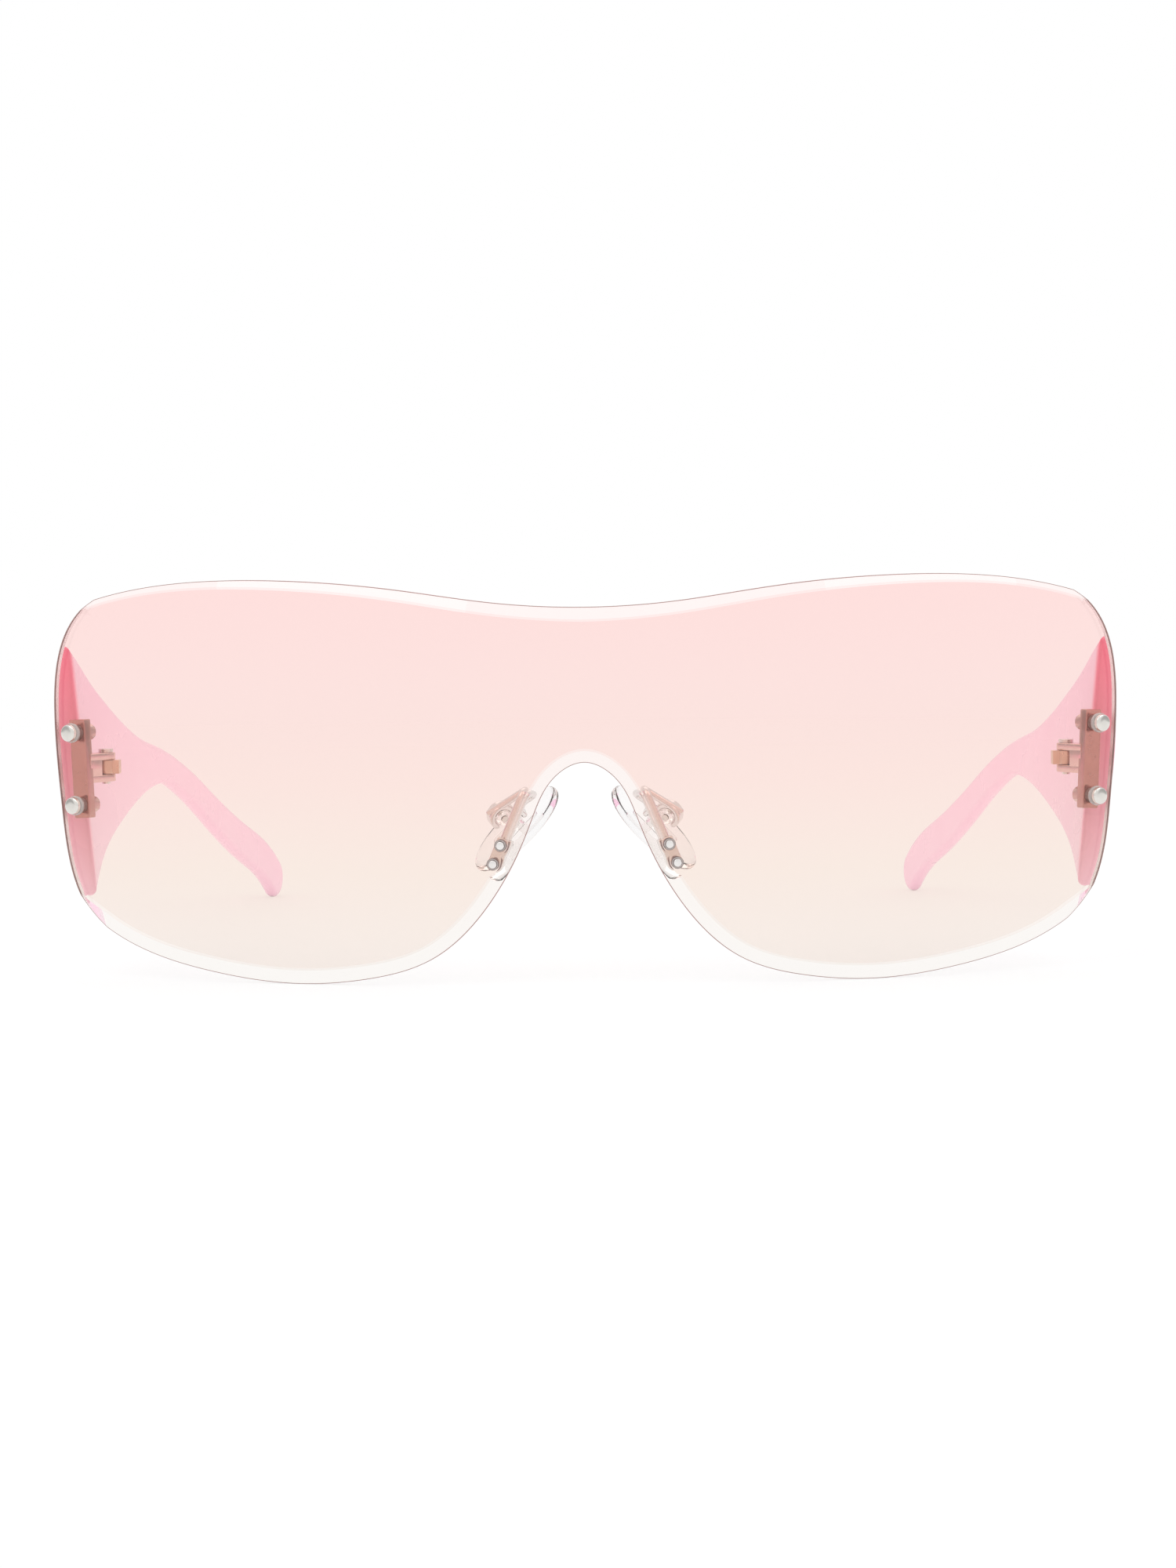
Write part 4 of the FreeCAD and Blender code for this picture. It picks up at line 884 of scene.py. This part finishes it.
def templePiece():
    # the section is set square to the plan's heading, canted by the flare and turned down with the middle's slope
    t = templeShape
    y, middle, flare, swell = templeRows(t["rings"])
    x, heading = templePlan(y)
    tall = t["armHeight"] + flare * (t["frontHeight"] - t["armHeight"]) + swell * (t["tipHeight"] - t["armHeight"])
    thick = t["armThick"] + flare * (t["frontThick"] - t["armThick"])
    edge = t["armEdge"] + flare * (t["frontEdge"] - t["armEdge"])
    cant = np.radians(t["cant"]) * flare
    slope = np.arctan(np.gradient(middle, y))
    start = templeFrontY + t["slopeShare"] * (t["backY"] - templeFrontY)
    slope *= np.clip((y - start) / t["slopeEase"], 0, 1)
    out = np.stack([np.cos(heading), np.sin(heading), 0 * y], -1)
    level = np.stack([-np.sin(heading), np.cos(heading), 0 * y], -1)
    upright = upward * np.cos(slope)[:, None] - level * np.sin(slope)[:, None]
    up = upright * np.cos(cant)[:, None] + out * np.sin(cant)[:, None]
    over = out * np.cos(cant)[:, None] - upright * np.sin(cant)[:, None]
    half = templeSection(tall, thick, edge)
    whole = np.concatenate([half, half[:, -2:0:-1] * np.array([1, -1])], 1)
    centre = np.stack([x, y, middle], -1)
    rings = centre[:, None] + over[:, None] * whole[..., :1] + up[:, None] * whole[..., 1:]
    # the cut front end is rounded over: the first ring shrinks towards its own middle as it nears the end
    turn = np.linspace(0, math.pi / 2, 6)[:-1]
    shrink = t["frontRound"] * (1 - np.sin(turn))
    ahead = t["frontRound"] * (1 - np.cos(turn))
    first = whole[0]
    run = np.roll(first, -1, 0) - np.roll(first, 1, 0)
    run /= np.linalg.norm(run, axis=1, keepdims=True)
    square = np.stack([run[:, 1], -run[:, 0]], -1)
    nose = first[None] + square[None] * shrink[:, None, None]
    keep = y > templeFrontY + t["frontRound"]
    noseRings = centre[0] + over[0] * nose[..., :1] + up[0] * nose[..., 1:] + level[0] * ahead[:, None, None]
    rings = np.concatenate([noseRings, rings[keep]])
    columns = rings.shape[1]
    body = (rings.reshape(-1, 3), [gridQuads(len(rings), columns, True)])
    capHalf = len(half[0])
    upperRow, lowerRow = noseRings[0][:capHalf], np.roll(noseRings[0][::-1], 1, 0)[:capHalf]
    bridge = np.linspace(0, 1, t["capRows"])[:, None, None]
    cap = upperRow * (1 - bridge) + lowerRow * bridge
    front = (cap.reshape(-1, 3), [gridQuads(t["capRows"], capHalf, False)])
    # round tip: the last half section turned half a circle about its own middle
    turn = np.linspace(0, math.pi, t["tipRings"])[:, None, None]
    reach = up[-1] * np.cos(turn) + np.cross(over[-1], up[-1]) * -np.sin(turn)
    tipRings = centre[-1] + over[-1] * half[-1][:, :1] + reach * half[-1][:, 1:]
    tip = (tipRings.reshape(-1, 3), [gridQuads(t["tipRings"], capHalf, False)])
    return joined(body, front, tip)


# Nose plate, its pins and sleeves, the bent pad arm and the clear pad with its core

noseShape = {
    "offset": 11.8 * mm, "height": 17.6 * mm, "pitch": 2.7 * mm, "tilt": 22.5, "stud": 0.55 * mm, "proud": 0.25 * mm,
    "sleeve": 0.78 * mm, "sleeveBore": 0.58 * mm, "width": 1.65 * mm, "thick": 1.0 * mm, "end": 0.9 * mm,
    "bevel": 0.12 * mm, "corner": 0.2 * mm, "studRound": 0.12 * mm, "studSink": 0.1 * mm, "sleeveRound": 0.06 * mm,
}
armShape = {"wire": 0.5 * mm, "lift": 0.15 * mm, "rise": 6.8 * mm, "back": 3.4 * mm, "bend": 1.2 * mm,
            "clipBore": 1.1 * mm, "clipThick": 0.8 * mm, "clipWidth": 1.8 * mm, "clipWrap": 230.0,
            "clipRound": 0.3 * mm, "clipGap": 0.06 * mm, "lap": 0.6 * mm}
padShape = {"offset": 9.2 * mm, "setback": 7.5 * mm, "height": 20.5 * mm, "lean": 45.0, "splay": 33.0,
            "length": 15.0 * mm, "width": 7.2 * mm, "crown": 1.5 * mm, "back": 0.7 * mm, "standoff": 2.6 * mm,
            "barrel": 1.05 * mm, "barrelLength": 2.2 * mm, "coreLength": 7.0 * mm, "coreWidth": 3.0 * mm,
            "coreThick": 0.7 * mm, "post": 1.1 * mm, "pin": 0.45 * mm, "pinEnd": 0.15 * mm,
            "rim": 0.86, "crownPower": 0.9, "ovalPower": 0.92, "coreCorner": 0.8 * mm, "coreBevel": 0.15 * mm,
            "postCorner": 0.15 * mm, "postBevel": 0.05 * mm, "postLap": 0.6 * mm, "barrelRound": 0.1 * mm,
            "pinRound": 0.08 * mm}
noseSpot = lensSpot(noseShape["offset"], noseShape["height"], seatDepth, noseShape["tilt"])
lean, splay = math.radians(padShape["lean"]), math.radians(padShape["splay"])
padAlong = np.array([math.cos(lean), 0, -math.sin(lean)])
padFace = np.array([-math.sin(lean) * math.cos(splay), math.sin(splay), -math.cos(lean) * math.cos(splay)])
padAcross = np.cross(padFace, padAlong)
padMiddle = onLens(np.array([[padShape["offset"], padShape["height"]]]), 0)[0]
padMiddle = padMiddle + np.array([0, lensShape["thickness"] + padShape["setback"], 0])
padSpot = spot(padMiddle, padAlong, padAcross, padFace)
barrelSpot = spot(jointPlace["pad_left_rock"], padAlong, padAcross, padFace)


def studSpots():
    # the plate's two pins, half a pitch up and down along it
    across, inward, up = noseSpot["axes"]
    return [spot(noseSpot["origin"] + up * sign * noseShape["pitch"] / 2, across, inward, up) for sign in (1, -1)]


def nosePlatePiece():
    # a strip with one round end behind the lens, and two pins through it
    n = noseShape
    across, inward, up = noseSpot["axes"]
    half = n["pitch"] / 2
    arc = arcLoop(n["width"] / 2, np.linspace(math.pi, 2 * math.pi, 21), (0, -half))
    top = softened([(n["width"] / 2, 0), (n["width"] / 2, half + n["end"]), (-n["width"] / 2, half + n["end"]),
                    (-n["width"] / 2, 0)], n["corner"], 5, False)[1:-1]
    strip = plate([np.vstack([arc, top])], -n["thick"], 0, n["bevel"], spot(noseSpot["origin"], across, up, -inward))
    tip = -(seatDepth + n["proud"])
    foot = n["studSink"]
    profile = softened([(0, tip), (n["stud"], tip), (n["stud"], foot), (0, foot)], n["studRound"], 5, False)
    return joined(strip, *[lathe(profile, place, 32) for place in studSpots()])


def sleevePiece():
    # a thin tube through the lens round each pin
    start, end = -seatDepth, -lensShape["seat"]
    n = noseShape
    ring = [(n["sleeveBore"], start), (n["sleeve"], start), (n["sleeve"], end), (n["sleeveBore"], end)]
    return joined(*[ringLathe(ring, n["sleeveRound"], place, 32) for place in studSpots()])


def padArmPiece():
    # wire from the plate up, back and down to the clip; the clip is a ring with round tips, open towards the pad
    a = armShape
    lift = noseShape["thick"] / 2 + a["lift"]
    foot = noseShape["pitch"] / 2 + noseShape["end"]
    top = foot + a["rise"]
    corners = placed(noseSpot, [(0, lift, foot - a["lap"]), (0, lift, top), (0, lift + a["back"], top)])
    clipBack = a["clipBore"] + a["clipGap"] + a["wire"]
    corners = np.vstack([corners, placed(barrelSpot, [(a["clipThick"], 0, -clipBack)])])
    path = softened(corners, a["bend"], 12, False)
    tip = a["clipThick"] / 2
    middle = a["clipBore"] + tip
    reach = math.radians(a["clipWrap"]) / 2 - tip / middle
    turn = np.linspace(-math.pi / 2 - reach, -math.pi / 2 + reach, 49)
    ring = arcLoop(1, turn)
    bow = np.linspace(0, math.pi, 14)[1:-1]
    farTip = ring[-1] * middle + arcLoop(1, turn[-1] + bow) * tip
    nearTip = ring[0] * middle + arcLoop(1, turn[0] + math.pi + bow) * tip
    band = np.vstack([ring * (middle + tip), farTip, ring[::-1] * (middle - tip), nearTip])
    around = spot(barrelSpot["origin"], padAlong, padFace, -padAcross)
    clip = plate([band], -a["clipWidth"] / 2, a["clipWidth"] / 2, a["clipRound"], around)
    return joined(tubeAlong(path, a["wire"]), clip)


def nosePadPiece():
    # an oval, crowned towards the nose and nearly flat behind, with a soft round rim
    p = padShape
    turn = np.linspace(0, 2 * math.pi, 96, endpoint=False)
    front = np.linspace(0, math.pi / 2, 22)
    rear = np.linspace(0, math.pi / 2, 10)[1:]
    rim, power = p["rim"], p["ovalPower"]
    share = np.concatenate([np.sin(front), rim + (1 - rim) * np.cos(rear), np.linspace(rim, 0, 9)[1:]])
    crown = p["crown"] * np.cos(front) ** p["crownPower"]
    height = np.concatenate([crown, -p["back"] * np.sin(rear), np.full(8, -p["back"])])
    oval = np.stack([np.sign(np.cos(turn)) * np.abs(np.cos(turn)) ** power * p["length"] / 2,
                     np.sign(np.sin(turn)) * np.abs(np.sin(turn)) ** power * p["width"] / 2], -1)
    flat = share[:, None, None] * oval
    local = np.concatenate([flat, np.broadcast_to(height[:, None, None], flat.shape[:2] + (1,))], -1)
    return placed(padSpot, local.reshape(-1, 3)), [gridQuads(len(share), len(turn), True)]


def padInsertPiece():
    # flat core inside the pad, a post out of its back, and the barrel that the clip grips
    p = padShape
    depth = p["back"] + p["standoff"]
    long, wide = p["coreLength"] / 2, p["coreWidth"] / 2
    coreLoop = boxLoop(-long, long, -wide, wide, p["coreCorner"])
    core = plate([coreLoop], -p["coreThick"] / 2, p["coreThick"] / 2, p["coreBevel"], padSpot)
    postHalf, clipHalf = p["post"] / 2, armShape["clipWidth"] / 2
    neck = boxLoop(-postHalf, postHalf, -clipHalf, clipHalf, p["postCorner"])
    post = plate([neck], -depth + p["postLap"], -p["coreThick"] / 4, p["postBevel"], padSpot)
    half = p["barrelLength"] / 2
    bore = p["pin"] + clearance
    ring = [(bore, -half), (p["barrel"], -half), (p["barrel"], half), (bore, half)]
    return joined(core, post, ringLathe(ring, p["barrelRound"], barrelSpot))


def padPinPiece():
    # a round pin, a little longer than the barrel
    half = padShape["barrelLength"] / 2 + padShape["pinEnd"]
    pin = padShape["pin"]
    profile = softened([(0, -half), (pin, -half), (pin, half), (0, half)], padShape["pinRound"], 4, False)
    return lathe(profile, barrelSpot, 32)


# Finishes

lensTint = makeLensTint()
lensEdge = makeLensEdge()
clear = {name: makeClear(name, **look) for name, look in clearLooks.items()}
metal = {name: makeMetal(name, **look) for name, look in metalLooks.items()}
pinkPlastic = makePinkPlastic(templeFrontY)
print("finishes made")

lensHoles = holesAt(boltSpots, boltShape["sleeve"] + clearance) + holesAt(studSpots(), noseShape["sleeve"] + clearance)
lensSheet, lensZones = lensPiece(lensHoles)
putPiece("shield_lens_look", lensSheet, "front", "lens_tint", lensTint, ["shield_lens"], 12, lensZones,
         (lensEdge, clear["lensGround"]))
print("lens made")


def atBolts(makePiece):
    return joined(*[makePiece(place) for place in boltSpots])


bracketBar, bracketZones = bracketPiece()
pairs = (
    ("bracket", bracketBar, "front", "rose_metal", metal["roseBracket"]),
    ("bracket_bolts", atBolts(boltPiece), "front", "silver_steel", metal["silverSteel"]),
    ("bracket_bushings", atBolts(bushingPiece), "front", "clear_plastic", clear["clearPlastic"]),
    ("bracket_nuts", atBolts(nutPiece), "front", "rose_metal", metal["roseMetal"]),
    ("hinge_screw", hingeScrewPiece(), "front", "silver_steel", metal["silverSteel"]),
    ("hinge_leaf", hingeLeafPiece(), "temple_{}", "brass_leaf", metal["brassLeaf"]),
    ("temple", templePiece(), "temple_{}", "pink_plastic", pinkPlastic),
    ("nose_plate", nosePlatePiece(), "front", "rose_silver", metal["roseSilver"]),
    ("lens_sleeves", sleevePiece(), "front", "clear_plastic", clear["clearPlastic"]),
    ("pad_arm", padArmPiece(), "front", "rose_silver", metal["roseSilver"]),
    ("nose_pad", nosePadPiece(), "pad_{}", "clear_silicone", clear["clearSilicone"]),
    ("pad_insert", padInsertPiece(), "pad_{}", "clear_plastic", clear["clearCore"]),
    ("pad_pin", padPinPiece(), "pad_{}", "silver_steel", metal["silverSteel"]),
)
extras = {"bracket": {"zone": bracketZones}, "temple": {"sharp": 75}}  # the temple's edges are all soft
for name, shape, body, slot, material in pairs:
    for piece in putPair(name, shape, body, slot, material, **extras.get(name, {})):
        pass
    print(name, "made on both sides")


# Stage: white floor, soft lamps, and the photograph's camera

stageLook = {
    "floorSize": 6.0, "floorColour": rgba(0.97, 0.97, 0.97), "floorGlow": 0.7, "worldLight": 0.97,
    "white": rgba(1.0, 1.0, 1.0), "mirrored": rgba(0.93, 0.93, 0.93), "board": rgba(0.5, 0.5, 0.5),
    "boardStart": 0.84, "boardEnd": 0.9, "fadeStart": 0.16, "fadeEnd": 0.7,
}
lampSet = (  # place, size, watts
    ((-0.55, -0.75, 1.1), 0.9, 2.2),
    ((0.7, -0.5, 0.95), 0.7, 1.2),
    ((0.0, 0.7, 1.0), 1.0, 1.2),
)
lampAim = (0, 0, 0.02)


def seenRays(tree):
    # 1 for rays from the camera, and for those that metal and glass pass on
    rays = tree.nodes.new("ShaderNodeLightPath")
    total = rays.outputs["Is Camera Ray"]
    for name in ("Is Glossy Ray", "Is Transmission Ray"):
        total = calculated(tree, "MAXIMUM", total, rays.outputs[name])
    return total, rays


def makeFloor():
    # a flat square that catches the shadow and glows plain white far from the object, so that no horizon shows
    size = stageLook["floorSize"]
    mesh = bpy.data.meshes.new("floor")
    mesh.from_pydata([(-size, -size, 0), (size, -size, 0), (size, size, 0), (-size, size, 0)], [], [(0, 1, 2, 3)])
    floor = bpy.data.objects.new("floor", mesh)
    bpy.context.scene.collection.objects.link(floor)
    material = bpy.data.materials.new("paleFloor")
    material.use_nodes = True
    tree = material.node_tree
    tree.nodes.clear()
    output = tree.nodes.new("ShaderNodeOutputMaterial")
    matte = tree.nodes.new("ShaderNodeBsdfDiffuse")
    matte.inputs["Color"].default_value = stageLook["floorColour"]
    glow = tree.nodes.new("ShaderNodeEmission")
    glow.inputs["Color"].default_value = stageLook["white"]
    away = tree.nodes.new("ShaderNodeVectorMath")
    away.operation = "LENGTH"
    tree.links.new(objectCoordinates(tree), away.inputs[0])
    fade = mapped(tree, away.outputs["Value"], From_Min=stageLook["fadeStart"], From_Max=stageLook["fadeEnd"],
                  To_Min=stageLook["floorGlow"])
    share = calculated(tree, "MULTIPLY", seenRays(tree)[0], fade)
    mixed = mixShaders(tree, share, matte.outputs["BSDF"], glow.outputs["Emission"])
    tree.links.new(mixed, output.inputs["Surface"])
    mesh.materials.append(material)


def makeWorld():
    # white to the eye; what metal mirrors is darker at the far left and right, as from two grey boards
    world = bpy.data.worlds.new("studio")
    bpy.context.scene.world = world
    world.use_nodes = True
    tree = world.node_tree
    tree.nodes.clear()
    output = tree.nodes.new("ShaderNodeOutputWorld")
    light, shown, mirror = [tree.nodes.new("ShaderNodeBackground") for kind in range(3)]
    light.inputs["Color"].default_value = stageLook["white"]
    light.inputs["Strength"].default_value = stageLook["worldLight"]
    shown.inputs["Color"].default_value = stageLook["white"]
    heading = tree.nodes.new("ShaderNodeTexCoord").outputs["Generated"]
    aside = calculated(tree, "ABSOLUTE", alongAxis(tree, heading, "X"))
    board = mapped(tree, aside, "SMOOTHSTEP", From_Min=stageLook["boardStart"], From_Max=stageLook["boardEnd"])
    mirrored = mixColours(tree, board, stageLook["mirrored"], stageLook["board"])
    tree.links.new(mirrored, mirror.inputs["Color"])
    seen, rays = seenRays(tree)
    mirrorOnly = calculated(tree, "SUBTRACT", rays.outputs["Is Glossy Ray"], rays.outputs["Is Transmission Ray"],
                            clamped=True)
    reflected = mixShaders(tree, mirrorOnly, shown.outputs["Background"], mirror.outputs["Background"])
    tree.links.new(mixShaders(tree, seen, light.outputs["Background"], reflected), output.inputs["Surface"])


def makeLamps():
    # square soft lamps, each turned to the aim
    for number, (place, size, watts) in enumerate(lampSet):
        data = bpy.data.lights.new(f"softLamp{number}", "AREA")
        data.shape = "SQUARE"
        data.size = size
        data.energy = watts
        lamp = bpy.data.objects.new(data.name, data)
        lamp.location = place
        lamp.rotation_euler = (Vector(lampAim) - Vector(place)).to_track_quat("-Z", "Y").to_euler()
        bpy.context.scene.collection.objects.link(lamp)


cameraView = {
    "imageHeight": 2000, "focalPixels": 5773, "distance": 600 * mm, "turn": 0.5, "height": 63 * mm,
    "aim": (0.5 * mm, 0.0, 27 * mm), "roll": 0.6, "sensor": 36.0, "clipStart": 0.01, "clipEnd": 50.0,
}


def makeCamera():
    # looks from its place to its aim, then rolls about that line
    c = cameraView
    turn = math.radians(c["turn"])
    place = Vector((c["distance"] * math.sin(turn), cadLow.y - c["distance"] * math.cos(turn), c["height"]))
    aim = Vector(c["aim"]) + Vector((0, cadLow.y, 0))
    forward = (aim - place).normalized()
    right = forward.cross(Vector(upward)).normalized()
    above = right.cross(forward)
    roll = math.radians(c["roll"])
    rolledRight = right * math.cos(roll) - above * math.sin(roll)
    rolledUp = right * math.sin(roll) + above * math.cos(roll)
    data = bpy.data.cameras.new("photoCamera")
    data.sensor_width = c["sensor"]
    data.lens = c["focalPixels"] / c["imageHeight"] * c["sensor"]
    data.clip_start, data.clip_end = c["clipStart"], c["clipEnd"]
    camera = bpy.data.objects.new("photoCamera", data)
    bpy.context.scene.collection.objects.link(camera)
    camera.matrix_world = Matrix.Translation(place) @ Matrix((rolledRight, rolledUp, -forward)).transposed().to_4x4()
    bpy.context.scene.camera = camera


makeFloor()
makeWorld()
makeLamps()
makeCamera()
bpy.context.scene.view_settings.view_transform = "Standard"
print("stage, lamps and camera made")
